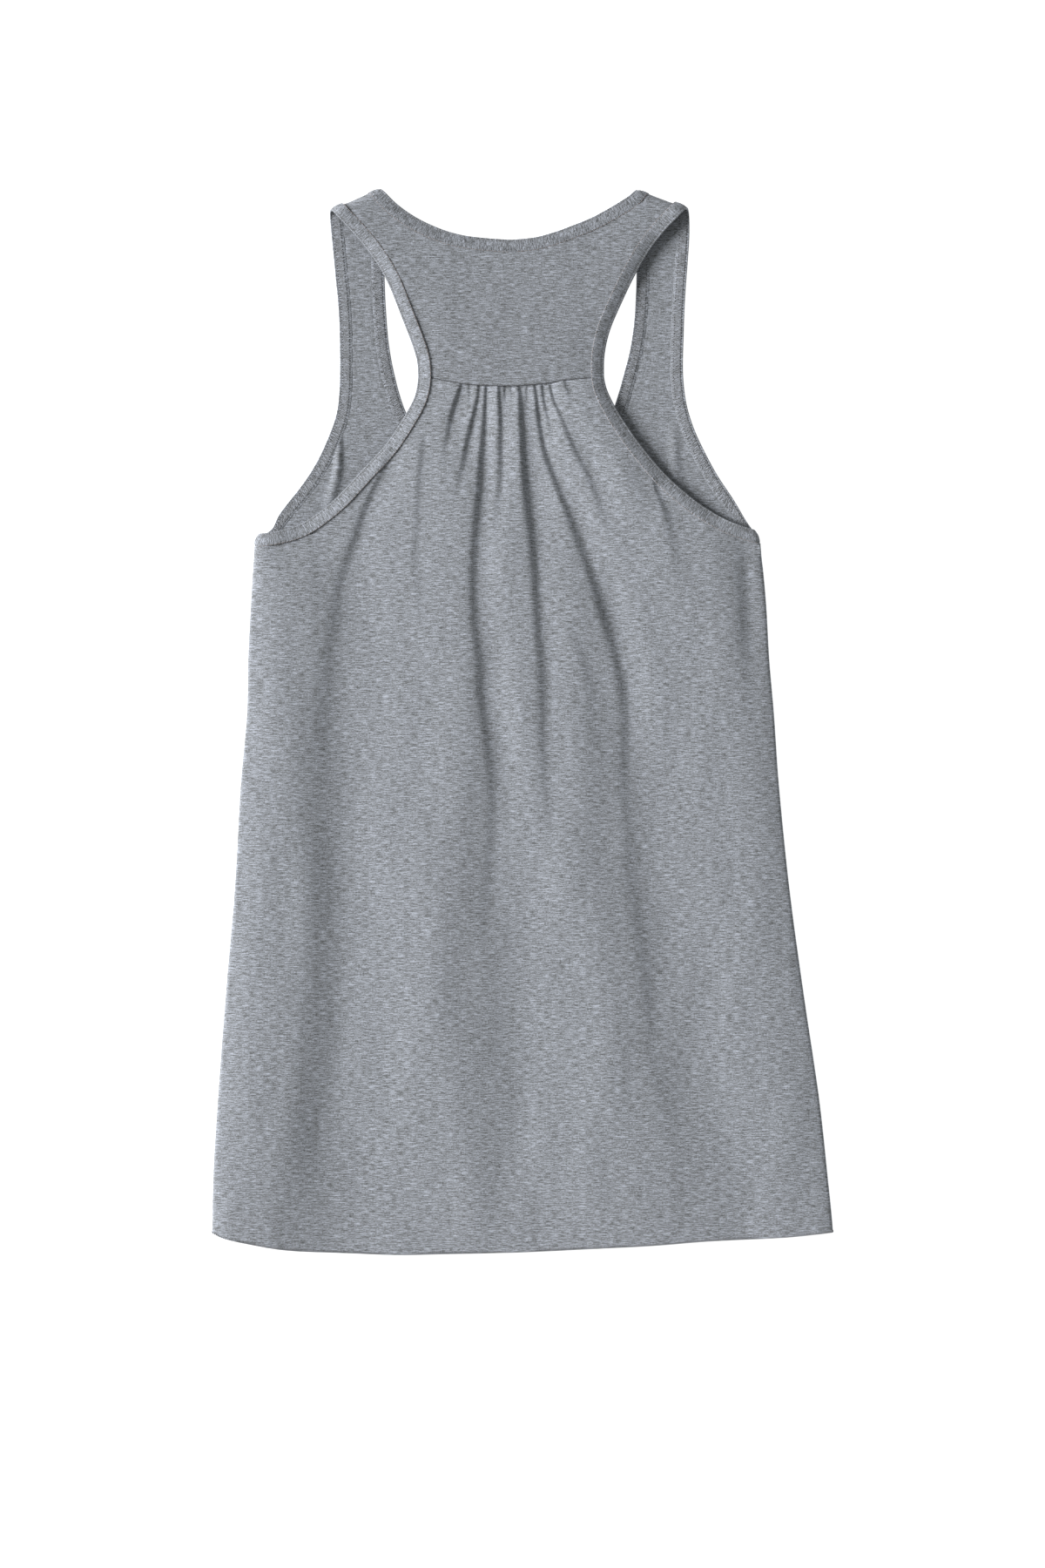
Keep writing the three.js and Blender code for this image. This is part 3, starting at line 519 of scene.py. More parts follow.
def seam_lines(side):
    """All seams of one side, from its underarm or the middle of the neck to its shoulder."""
    turn = -SIGN[side]
    arm_top, neck_top = fold_top(side, "arm"), fold_top(side, "neck")
    _, _, to_armhole = shoulder(side)
    y = UNDERARM_Y[side]
    back_start, front_start = (back_side_seam(side, y), y), (front_side_seam(side, y), y)
    into_arm = (to_armhole, TURNS["top"])
    into_neck = (-to_armhole, TURNS["top"])
    neck_start = (UP, TURNS["neck"])
    seams = {
        "back_arm": Seam([back_start, *BACK_ARMHOLE[side]], turn, (UP, TURNS["back_arm"])),
        "yoke_arm": Seam([*YOKE_ARMHOLE[side], arm_top], turn, None, into_arm),
        "front_arm": Seam(
            [front_start, *FRONT_ARMHOLE[side], arm_top], turn, (UP, TURNS["front_arm"]), into_arm
        ),
        "back_neck": Seam([*BACK_NECK[side], neck_top], -turn, neck_start, into_neck),
        "front_neck": Seam([*FRONT_NECK[side], neck_top], -turn, neck_start, into_neck),
    }
    for name, starts in DROOP_STARTS.items():
        seams[name].droop_starts = starts
    return seams


SEAMS = {side: seam_lines(side) for side in SIGN}


# A seam's samples are thinned to every so many, and points are handled this many at a time
NEAR_EVERY = 4
NEAR_AT_ONCE = 4000


def distance_to(x, y, lines):
    """Distance of pattern points from the nearest of some seam lines, and the run along it."""
    shape = x.shape
    points = np.stack([x.ravel(), y.ravel()], -1)
    line = np.vstack([seam.line[::NEAR_EVERY] for seam in lines])
    run = np.concatenate([seam.run[::NEAR_EVERY] for seam in lines])
    nearest = np.empty(len(points), int)
    away = np.empty(len(points))
    for part in np.array_split(np.arange(len(points)), max(len(points) // NEAR_AT_ONCE, 1)):
        gaps = np.hypot(points[part, None, 0] - line[:, 0], points[part, None, 1] - line[:, 1])
        nearest[part] = gaps.argmin(axis=1)
        away[part] = gaps[np.arange(len(part)), nearest[part]]
    return away.reshape(shape), run[nearest].reshape(shape)


def wander(run, waves, seed):
    """An uneven wave from a few sines: waves gives wavelength and height pairs."""
    phases = np.random.default_rng(seed).uniform(0, 2 * math.pi, len(waves))
    return sum(high * np.sin(2 * math.pi * run / long + p) for (long, high), p in zip(waves, phases))


# Fine form that goes on top of the laid cloth

# The ditch beside a seam, the deeper one at the yoke's seam, how far the panels fall off towards the
# armholes, and where on the yoke that ends
SEAM_DITCH = {"depth": 0.08, "half": 1.2}
YOKE_DITCH = {"depth": 0.55, "half": 0.7}
ARMHOLE_FALL = {"depth": 0.65, "reach": 10}
YOKE_FALL_TOP = 300
YOKE_FALL_FADE = 50

# Soft ridges on the inside of the front panel, each from its top down
FRONT_RIDGES = {name: table("y x half height", rows) for name, rows in {
    "left_strap": [
        (196, -120.5, 1.3, 0), (182, -120.8, 1.4, 1.4), (170, -121.4, 1.6, 2.2), (160, -122.8, 1.8, 2.3),
        (150, -125.4, 2.2, 1.8), (142, -127.6, 2.8, 1.2),
    ],
    "right_strap": [(196, 99, 3, 0), (180, 99.4, 3, 1), (160, 100, 4, 1.2), (140, 104, 5, 0.6)],
}.items()}

# Wavelength and height of the puckers along a seam, and how far they reach
PUCKERS = {"waves": ((3.7, 0.07), (5.3, 0.09), (8.9, 0.1), (15, 0.1)), "reach": 5}

# Wavelength across, wavelength along and height of the soft unevenness of the whole cloth
SOFT_WAVES = ((27, 210, 0.06), (41, -330, 0.11), (64, 260, 0.14), (33, -120, 0.06), (90, 90, 0.16))
SOFT_FADE = 60
YOKE_SOFTNESS = 0.5
FRONT_RISE = 0.1
SEEDS = {
    "back_waves": 3, "yoke_waves": 4, "back_puckers": 5, "yoke_puckers": 6, "front_puckers": 7,
    "neck_band": 21, "left_band": 22, "right_band": 23,
}


def soft_relief(x, y, seed):
    phases = np.random.default_rng(seed).uniform(0, 2 * math.pi, len(SOFT_WAVES))
    return sum(
        high * np.sin(2 * math.pi * (x / across + y / along) + phase)
        for (across, along, high), phase in zip(SOFT_WAVES, phases)
    )


def front_ridges(x, y):
    height = 0
    for ridge in FRONT_RIDGES.values():
        away = (x - read(ridge, "x", y)) / read(ridge, "half", y)
        inside = (y >= ridge["y"][0]) & (y <= ridge["y"][-1])
        height = height + inside * read(ridge, "height", y) * bell(away, 1)
    return height


def armhole_fall(x, y, lines):
    """How far the cloth falls off towards the armholes."""
    away, _ = distance_to(x, y, lines)
    return -ARMHOLE_FALL["depth"] * bell(away, ARMHOLE_FALL["reach"])


def seam_relief(x, y, lines, seed):
    """The ditch beside a seam and the small puckers that its stitches draw up."""
    away, run = distance_to(x, y, lines)
    ditch = -SEAM_DITCH["depth"] * bell(away, SEAM_DITCH["half"])
    return ditch + wander(run, PUCKERS["waves"], seed) * np.exp(-away / PUCKERS["reach"])


# Meshes

# Points closer than this are one where the halves of a panel meet
WELD = 0.002


def grid_faces(rows, columns, wrap_rows=False, wrap_columns=False):
    """Square cells of a grid, as corner numbers and as the grid places of their corners."""
    i, j = np.meshgrid(
        np.arange(rows - (not wrap_rows)), np.arange(columns - (not wrap_columns)), indexing="ij"
    )
    corner_i = np.stack([i, i, i + 1, i + 1], -1).reshape(-1, 4)
    corner_j = np.stack([j, j + 1, j + 1, j], -1).reshape(-1, 4)
    return (corner_i % rows) * columns + corner_j % columns, corner_i, corner_j


def add_mesh(name, points, faces, uv, material):
    """A smooth mesh object from points in millimetres and a UV pair for each face corner."""
    mesh = bpy.data.meshes.new(name)
    mesh.from_pydata((points * MM).tolist(), [], faces.tolist())
    mesh.uv_layers.new(name="pattern").data.foreach_set("uv", (uv * MM).ravel())
    mesh.shade_smooth()
    mesh.materials.append(material)
    piece = bpy.data.objects.new(name, mesh)
    bpy.context.collection.objects.link(piece)
    return piece


def mend(piece, weld=False):
    """Joins the halves of a panel, turns all faces one way and keeps the open edges crisp."""
    shape = bmesh.new()
    shape.from_mesh(piece.data)
    if weld:
        bmesh.ops.remove_doubles(shape, verts=shape.verts, dist=WELD * MM)
    bmesh.ops.recalc_face_normals(shape, faces=shape.faces)
    for edge in shape.edges:
        edge.smooth = not edge.is_boundary
    shape.to_mesh(piece.data)
    shape.free()
    return piece


def add_panel(name, patches, lay, relief, material):
    """A cloth wall from patches of pattern points, each an x and a y grid."""
    points, faces, uvs = [], [], []
    count = 0
    for x, y in patches:
        place, normals = laid_with_normals(lay, x, y)
        place = place + normals * relief(x, y)[..., None]
        cells, corner_i, corner_j = grid_faces(*x.shape)
        points.append(place.reshape(-1, 3))
        faces.append(cells + count)
        uvs.append(np.stack([x[corner_i, corner_j], y[corner_i, corner_j]], -1).reshape(-1, 2))
        count += x.size
    piece = add_mesh(name, np.vstack(points), np.vstack(faces), np.vstack(uvs), material)
    mend(piece, weld=True)
    wall = piece.modifiers.new("wall", "SOLIDIFY")
    wall.thickness = WALL * MM
    wall.offset = 0
    return piece


def spread(values, per_step):
    """Numbers between those of a list, evenly, per_step to each of its steps."""
    values = np.asarray(values, float)
    return np.interp(np.arange((len(values) - 1) * per_step + 1) / per_step, np.arange(len(values)), values)


# Rows of both panels below the armholes. They are level higher up and follow the hem lower down.
ROW_Y = [-318, -284, -248, -210, -172, -136, -102, -70, -40, -12, 14, 38, 60, 80, 98]
HEM_FADE_Y = -230
HEM_CORNER_X = 200


def hem_at(x):
    return read(HEM, "y", np.asarray(x, float))


def row_at(y, x):
    fall = smooth((HEM_FADE_Y - y) / (HEM_FADE_Y - hem_at(0)))
    return y + fall * (hem_at(x) - hem_at(0))


# Rows of the body between its armholes: their shares of the armhole seams, and where they cross
# the middle of the body
ARM_ROWS = table("share centre_y", [
    (0, 108), (0.03, 112), (0.062, 118), (0.11, 126), (0.19, 138), (0.29, 151), (0.4, 163),
    (0.51, 174), (0.61, 184), (0.7, 193), (0.79, 201), (0.87, 208), (0.94, 214.5), (1, 219.85),
])
BODY_GRID = {"low_steps": 11, "arm_steps": 10, "roll": 12, "roll_width": 11, "middle": 124}
BODY_CROWDING = 0.18
# Share of the armholes from which the rows bend to the yoke seam
YOKE_SEAM_NEAR = 0.9


def body_columns(left, right, roll, crowding):
    """Places across a row of the body, closer together round the side rolls and at the middle."""
    rolls, middle = BODY_GRID["roll"], BODY_GRID["middle"]
    half = (right - left) / 2
    t = np.linspace(-1, 1, middle + 1)
    inner = left + half + (half - roll) * (t * (1 - crowding) + crowding * t**3)
    edge = np.arange(rolls) / rolls * roll
    return np.concatenate([left + edge, inner, right - edge[::-1]])


def back_body_pattern():
    rows_x, rows_y = [], []
    for y in spread([hem_at(0), *ROW_Y, ARM_ROWS["centre_y"][0]], BODY_GRID["low_steps"])[:-1]:
        left = back_side_seam("left", row_at(y, -HEM_CORNER_X)) - SEAM_OVERLAP
        right = back_side_seam("right", row_at(y, HEM_CORNER_X)) + SEAM_OVERLAP
        x = body_columns(left, right, BODY_GRID["roll_width"], BODY_CROWDING)
        rows_x.append(x)
        rows_y.append(row_at(y, x))
    shares = spread(ARM_ROWS["share"], BODY_GRID["arm_steps"])
    centres = read(ARM_ROWS, "centre_y", shares)
    sides = [SEAMS[side]["back_arm"].moved(shares, SEAM_OVERLAP) for side in SIGN]
    up = np.linspace(0, 1, len(shares))
    for k, (left, right) in enumerate(zip(*sides)):
        x = body_columns(left[0], right[0], BODY_GRID["roll_width"], BODY_CROWDING * (1 - up[k]))
        t = 2 * (x - left[0]) / (right[0] - left[0]) - 1
        end = np.where(t < 0, left[1], right[1])
        level = centres[k] + (end - centres[k]) * t * t
        seam = read(YOKE_SEAM, "y", x) + SEAM_OVERLAP
        near_seam = smooth((up[k] - YOKE_SEAM_NEAR) / (1 - YOKE_SEAM_NEAR))
        rows_x.append(x)
        rows_y.append(level + (seam - level) * near_seam)
    return np.array(rows_x), np.array(rows_y)


# Rows over which half a panel comes down onto its lower edge
LOWER_EDGE_ROWS = 12


def half_panel(inner, outer, columns, lower_edge):
    """Half of a panel: rows from the middle or the neck seam out to the side or armhole seam."""
    t = np.linspace(0, 1, columns + 1)[None, :, None]
    points = inner[:, None, :] * (1 - t) + outer[:, None, :] * t
    x, y = points[..., 0], points[..., 1]
    first = lower_edge(x[0])
    fade = np.clip(1 - np.arange(len(y)) / LOWER_EDGE_ROWS, 0, 1)[:, None]
    return x, y + (first - y[0]) * fade


def overlap_at_fold(side, points):
    _, across, _ = shoulder(side)
    points[-1] = points[-1] + across * SEAM_OVERLAP
    return points


# Rows of a half yoke and of a half front, as heights at the middle and then as shares of their seams
YOKE_GRID = {"columns": 44, "steps": 8}
YOKE_CENTRE_Y = [220, 222.5, 240, 262, 285]
YOKE_ARM_SHARES = [
    0, 0.02, 0.08, 0.16, 0.25, 0.34, 0.43, 0.53, 0.63, 0.73, 0.82, 0.89, 0.948, 0.966, 0.983, 1,
]
BACK_NECK_SHARES = [0, 0.13, 0.28, 0.44, 0.6, 0.75, 0.87, 0.935, 0.957, 0.979, 1]


def yoke_lower_edge(x):
    return read(YOKE_SEAM, "y", x) - SEAM_OVERLAP


def yoke_patterns():
    steps = YOKE_GRID["steps"]
    patterns = []
    for side, seams in SEAMS.items():
        neck = seams["back_neck"].moved(spread(BACK_NECK_SHARES, steps), SEAM_OVERLAP)
        middle_y = spread([*YOKE_CENTRE_Y, neck[0, 1]], steps)[:-1]
        middle = np.stack([np.full_like(middle_y, YOKE_CENTRE_X), middle_y], -1)
        inner = overlap_at_fold(side, np.vstack([middle, neck]))
        outer = overlap_at_fold(side, seams["yoke_arm"].moved(spread(YOKE_ARM_SHARES, steps), SEAM_OVERLAP))
        patterns.append(half_panel(inner, outer, YOKE_GRID["columns"], yoke_lower_edge))
    return patterns


FRONT_GRID = {"columns": 56, "steps": 7}
FRONT_CENTRE_Y = [*ROW_Y, 108, 118, 127, 135]
FRONT_ARM_SHARES = [
    0, 0.035, 0.08, 0.14, 0.21, 0.28, 0.35, 0.42, 0.5, 0.58, 0.67, 0.76, 0.85, 0.93, 0.972, 0.982, 0.991, 1,
]
FRONT_NECK_SHARES = [0, 0.1, 0.2, 0.3, 0.4, 0.5, 0.6, 0.71, 0.83, 0.93, 0.969, 0.98, 0.99, 1]


def front_hem(x):
    return hem_at(x) + FRONT_HEM_SHORTER


def front_patterns():
    steps = FRONT_GRID["steps"]
    patterns = []
    for side, seams in SEAMS.items():
        sign, corner = SIGN[side], SIGN[side] * HEM_CORNER_X
        neck = seams["front_neck"].moved(spread(FRONT_NECK_SHARES, steps), SEAM_OVERLAP)
        middle_y = spread([front_hem(0), *FRONT_CENTRE_Y, neck[0, 1]], steps)[:-1]
        up = (middle_y - front_hem(0)) / (neck[0, 1] - front_hem(0))
        middle = np.stack([YOKE_CENTRE_X * up, middle_y], -1)
        seam_y = [front_hem(corner), *[row_at(y, corner) for y in ROW_Y], UNDERARM_Y[side]]
        seam_y = spread(seam_y, steps)[:-1]
        seam = np.stack([front_side_seam(side, seam_y) + sign * SEAM_OVERLAP, seam_y], -1)
        arm = seams["front_arm"].moved(spread(FRONT_ARM_SHARES, steps), SEAM_OVERLAP)
        arm[0, 0] += sign * SEAM_OVERLAP
        inner = overlap_at_fold(side, np.vstack([middle, neck]))
        outer = overlap_at_fold(side, np.vstack([seam, arm]))
        patterns.append(half_panel(inner, outer, FRONT_GRID["columns"], front_hem))
    return patterns


# Bindings

# The rim that covers the panel's edge, the groove that a row of stitches presses into the band, how
# far it stands out where it goes over a shoulder, how far it droops, and its small waves
BAND = {"spacing": 1.0, "points": 26, "at_edges": 0.45, "rim": -0.6, "edge_round": 0.6, "soften": 2}
BAND_RIM = {"share": 0.66, "reach": 3}
BAND_GROOVE = {"at": 6.6, "depth": 0.2, "half": 0.55}
BAND_PUFF = {"arm": 2.0, "neck": 0.9, "reach": 6.5, "bounds": 26, "round": 1.5}
BAND_DROOP = {"left": 1.9, "right": 2.7, "neck": 1.0}
BAND_WAVES = ((2.9, 0.05), (4.3, 0.06), (7.7, 0.07), (23, 0.08))
BAND_WAVES_IN = {"thickness": 0.6, "edge": 0.3}


def shoulder_puff(point, edge):
    """How near a band's stations are to where it passes over a shoulder's fold, from 0 to 1."""
    puff = np.zeros(len(point))
    for side in SHOULDERS:
        start, across, _ = shoulder(side)
        past = (point - start) @ across - SHOULDER_FOLD * math.pi / 2
        near = np.hypot(*(point - fold_top(side, edge)).T) < BAND_PUFF["bounds"]
        puff = puff + near * bell(past, BAND_PUFF["reach"])
    return puff


class Loop:
    """The closed line that a binding follows, as stations on the flat patterns that it joins."""

    def __init__(self, edge, droop, parts):
        self.edge = edge
        self.full_droop = droop
        self.parts = []
        for lay, seam, is_reversed in parts:
            share = np.linspace(0, 1, int(seam.length / BAND["spacing"]) + 1)[:-1]
            share = 1 - share if is_reversed else share
            point, out = seam.at(share)
            self.parts.append((lay, point, out, seam.droop(share * seam.length)))
        self.run = run_along(closed(self.laid(BINDING_WIDTH / 2, 0)[0]))

    def laid(self, distance, height):
        """Points this far out from the seam and this high over the cloth's middle, on its outside."""
        places, outsides = [], []
        outward = distance / BINDING_WIDTH
        for lay, point, out, droop in self.parts:
            x, y = (point + out * distance).T
            place, normal = laid_with_normals(lay, x, y)
            outside = -normal if lay is lay_front else normal
            puff = shoulder_puff(point, self.edge)
            raised = height + puff * (BAND_PUFF[self.edge] - BAND_PUFF["round"] * max(outward, 0) ** 3)
            place = place + normal * (BINDING_LIFT * normal[:, 2:]) + outside * raised[:, None]
            place[:, 2] -= self.full_droop * max(outward, 0) * droop
            places.append(place)
            outsides.append(outside)
        return np.vstack(places), np.vstack(outsides)


def soften(points, reach):
    """Rounds small kinks along a closed line of points."""
    shifts = range(-reach, reach + 1)
    return sum(np.roll(points, shift, axis=0) for shift in shifts) / len(shifts)


def armhole_loop(side):
    seams = SEAMS[side]
    return Loop("arm", BAND_DROOP[side], [
        (lay_back, seams["back_arm"], False),
        (lay_yoke, seams["yoke_arm"], False),
        (lay_front, seams["front_arm"], True),
    ])


def neck_loop():
    left, right = SEAMS["left"], SEAMS["right"]
    return Loop("neck", BAND_DROOP["neck"], [
        (lay_yoke, left["back_neck"], False),
        (lay_front, left["front_neck"], True),
        (lay_front, right["front_neck"], False),
        (lay_yoke, right["back_neck"], True),
    ])


def band_height(distance):
    """Half the thickness of a folded band: round at both edges and grooved by its stitches."""
    rim = BAND["rim"]
    from_edge = np.minimum(distance - rim, BINDING_WIDTH - distance) / BAND["edge_round"]
    edge = np.sqrt(1 - (1 - np.clip(from_edge, 0, 1)) ** 2)
    edge *= 1 - (1 - BAND_RIM["share"]) * (1 - smooth((distance - rim) / BAND_RIM["reach"]))
    groove = bell(distance - BAND_GROOVE["at"], BAND_GROOVE["half"])
    return edge * (BINDING_HALF_THICKNESS - BAND_GROOVE["depth"] * groove)


def band_section():
    """Places round a folded band's section: distance from the seam line and height."""
    share = (1 - np.cos(np.linspace(0, math.pi, BAND["points"]))) / 2
    even = np.linspace(0, 1, BAND["points"])
    share = BAND["at_edges"] * share + (1 - BAND["at_edges"]) * even
    distance = BAND["rim"] + (BINDING_WIDTH - BAND["rim"]) * share
    height = band_height(distance)
    return np.concatenate([distance, distance[-2:0:-1]]), np.concatenate([height, -height[-2:0:-1]])


def add_binding(name, loop, material, seed):
    sections = []
    ripple = wander(loop.run[:-1], BAND_WAVES, seed)
    for distance, height in zip(*band_section()):
        place, outside = loop.laid(distance, height)
        place = place + outside * (BAND_WAVES_IN["thickness"] * height * ripple)[:, None]
        place[:, 2] += BAND_WAVES_IN["edge"] * (distance / BINDING_WIDTH) ** 2 * ripple
        sections.append(place)
    points = soften(np.stack(sections, axis=1), BAND["soften"])
    points[..., 2] = np.maximum(points[..., 2], LEAST_HEIGHT)
    stations, around = points.shape[:2]
    faces, corner_i, corner_j = grid_faces(stations, around, True, True)
    uv = np.stack([corner_j * (2 * BINDING_WIDTH / around), loop.run[corner_i]], -1)
    return mend(add_mesh(name, points.reshape(-1, 3), faces, uv.reshape(-1, 2), material))


# Thread

# Rings of one stitch: place along it and radius and height as shares of its length and radius
STITCH_RINGS = table("along radius height", [
    (-0.5, 0.35, -0.6), (-0.34, 0.85, 0.15), (0, 1, 0.6), (0.34, 0.85, 0.15), (0.5, 0.35, -0.6),
])
THREAD_SIDES = 6
THREAD_ANGLES = np.arange(THREAD_SIDES) / THREAD_SIDES * 2 * math.pi
THREAD_STEP = 0.3
STITCH_SPREAD = {"pitch": 0.03, "length": (0.9, 1.08)}


def path_frames(points, normals, run, at):
    """Places, tangents, sideways and outward directions of a line of points."""
    tangent = unit(sample(points, run, at + THREAD_STEP) - sample(points, run, at - THREAD_STEP))
    outward = unit(sample(normals, run, at))
    return sample(points, run, at), tangent, unit(np.cross(tangent, outward)), outward


def thread_rings(place, sideways, outward, radius, lift):
    """Rings of points round the places of a thread's line, none below the surface it lies on."""
    high = lift[:, None] + np.sin(THREAD_ANGLES) * radius[:, None]
    wide = np.cos(THREAD_ANGLES) * radius[:, None]
    rings = place[:, None] + outward[:, None] * high[..., None] + sideways[:, None] * wide[..., None]
    rings[..., 2] = np.maximum(rings[..., 2], LEAST_HEIGHT)
    return rings.reshape(-1, 3)


def add_stitches(name, line, normals, sizes, material):
    """A row of separate stitches along a line, as short threads with closed ends."""
    pitch, radius = sizes["pitch"], sizes["radius"]
    run = run_along(line)
    centres = np.arange(pitch, run[-1] - pitch, pitch)
    centres = centres + RANDOM.normal(0, pitch * STITCH_SPREAD["pitch"], len(centres))
    lengths = sizes["length"] * RANDOM.uniform(*STITCH_SPREAD["length"], len(centres))
    at = centres[:, None] + STITCH_RINGS["along"] * lengths[:, None]
    place, _, sideways, outward = path_frames(line, normals, run, at.ravel())
    radii, lift = (np.tile(STITCH_RINGS[column] * radius, len(centres)) for column in ("radius", "height"))
    points = thread_rings(place, sideways, outward, radii, lift)
    rings = len(STITCH_RINGS["along"])
    cells, corner_i, corner_j = grid_faces(rings, THREAD_SIDES, False, True)
    starts = (np.arange(len(centres)) * rings * THREAD_SIDES)[:, None]
    faces = [(cells[None] + starts[:, None]).reshape(-1, 4)]
    uv = np.stack([corner_j * radius, corner_i * sizes["length"] / rings], -1).reshape(-1, 2)
    uvs = [np.tile(uv, (len(centres), 1)) + np.repeat(centres, len(uv))[:, None] * (0, 1)]
    first_ring = np.arange(THREAD_SIDES)
    for cap in (first_ring[::-1], first_ring + (rings - 1) * THREAD_SIDES):
        for quad in (cap[[0, 1, 2, 3]], cap[[0, 3, 4, 5]]):
            faces.append(quad[None] + starts)
            uvs.append(np.repeat(np.stack([centres * 0, centres], -1), 4, axis=0))
    return mend(add_mesh(name, points, np.vstack(faces), np.vstack(uvs), material))


def add_thread(name, line, normals, radius, material):
    """A long thread as a tube along a line."""
    run = run_along(line)
    place, _, sideways, outward = path_frames(line, normals, run, run)
    points = thread_rings(place, sideways, outward, np.full(len(line), radius), np.zeros(len(line)))
    faces, corner_i, corner_j = grid_faces(len(line), THREAD_SIDES, False, True)
    uv = np.stack([corner_j * radius, run[corner_i]], -1).reshape(-1, 2)
    return mend(add_mesh(name, points, faces, uv, material))


# Materials

class Nodes:
    """A short way to add and link shader nodes."""

    def __init__(self, name):
        self.material = bpy.data.materials.new(name)
        self.material.use_nodes = True
        self.tree = self.material.node_tree
        self.shader = self.tree.nodes["Principled BSDF"]

    def add(self, kind, settings=(), **inputs):
        node = self.tree.nodes.new(kind)
        for key, value in dict(settings).items():
            setattr(node, key, value)
        for key, value in inputs.items():
            socket = node.inputs[key.replace("_", " ")]
            if isinstance(value, bpy.types.NodeSocket):
                self.tree.links.new(value, socket)
            else:
                socket.default_value = value
        return node

    def math(self, operation, *values):
        node = self.tree.nodes.new("ShaderNodeMath")
        node.operation = operation
        for socket, value in zip(node.inputs, values):
            if isinstance(value, bpy.types.NodeSocket):
                self.tree.links.new(value, socket)
            else:
                socket.default_value = value
        return node.outputs[0]

    def noise(self, vector, across, along, detail=2.0, roughness=0.55, offset=0.0):
        """Streaks this long across and along the pattern, in millimetres."""
        scale = (1 / (across * MM), 1 / (along * MM), 1)
        mapped = self.add("ShaderNodeMapping", Vector=vector, Scale=scale, Location=(offset, -offset, offset))
        noise = self.add(
            "ShaderNodeTexNoise", {"noise_dimensions": "2D"}, Vector=mapped.outputs[0], Scale=1.0,
            Detail=detail, Roughness=roughness,
        )
        return noise.outputs["Fac"]

    def ramp(self, value, stops):
        node = self.add("ShaderNodeValToRGB", Fac=value)
        elements = node.color_ramp.elements
        while len(elements) < len(stops):
            elements.new(0.5)
        for element, (place, colour) in zip(elements, stops):
            element.position = place
            element.color = (*colour, 1)
        return node.outputs["Color"]

    def set(self, **values):
        for key, value in values.items():
            self.shader.inputs[key.replace("_", " ")].default_value = value

    def link(self, output, key):
        self.tree.links.new(output, self.shader.inputs[key])


def shade(level, blue=0.0):
    """A grey of the heather, cooler where blue is above 0."""
    return (level * (0.965 - 0.2 * blue), level, level * (1 + blue))


# Yarns of the heather: the grey in its middle, and streaks by length across, width along, weight and offset
YARNS = {
    "jersey": {"middle": 0.258, "streaks": ((4.6, 0.55, 0.46, 0), (1.0, 0.45, 0.4, 5), (14, 1.3, 0.14, 9))},
    "strip": {"middle": 0.25, "streaks": ((2.6, 0.55, 0.5, 0), (0.7, 0.6, 0.4, 3), (5, 6, 0.1, 7))},
}
# Tone and contrast of each cloth, and where in the yarn's pattern it is cut from. The yoke and the front are
# darker as painted shade, over the shoulders and under the back's armholes, and the neck band is darker
# partly as painted shade and partly for its darker cross-grain yarn.
CLOTHS = {
    "jersey_body": {"yarn": "jersey", "tone_and_painted_shade": 1.0, "contrast": 1.0, "offset": 0.0},
    # Painted shade: the yoke is made darker for the shade over the shoulders.
    "jersey_yoke": {"yarn": "jersey", "tone_and_painted_shade": 0.92, "contrast": 1.0, "offset": 17.3},
    # Painted shade: the front is made darker for the shade that the back casts on it through the armholes.
    "jersey_front": {"yarn": "jersey", "tone_and_painted_shade": 0.95, "contrast": 1.0, "offset": 31.7},
    "binding_armhole": {"yarn": "strip", "tone_and_painted_shade": 1.0, "contrast": 1.0, "offset": 3.1},
    # Partly painted shade: the neck band is darker for the shade on it, and partly for its darker, more
    # speckled yarn.
    "binding_neck": {"yarn": "strip", "tone_and_painted_shade": 0.84, "contrast": 1.25, "offset": 8.7},
}
# From dark to pale yarn: place in the mix, change of the grey and blueness
HEATHER_STOPS = (
    (0.33, -0.68, 0.01), (0.44, -0.3, 0.03), (0.5, 0, 0.07), (0.56, 0.34, 0.1), (0.67, 0.95, 0.13),
)
# Long pale wisps: their size, the noise value that they start from, their strength and what evens it out
WISPS = {"across": 8.5, "along": 0.8, "from": 0.56, "strength": 0.4, "evened": 0.006}
# Pale and dark colour of each thread
THREADS = {
    "thread_pale": ((0.29, 0.28, 0.28), (0.16, 0.155, 0.155)),
    "thread_tan": ((0.33, 0.275, 0.25), (0.22, 0.18, 0.165)),
    # Near black: this dark thread's colour is also painted shade along the ditch at the yoke seam.
    "thread_dark_and_seam_shade": ((0.11, 0.11, 0.115), (0.06, 0.06, 0.062)),
    "thread_grey": ((0.42, 0.43, 0.45), (0.15, 0.155, 0.16)),
}


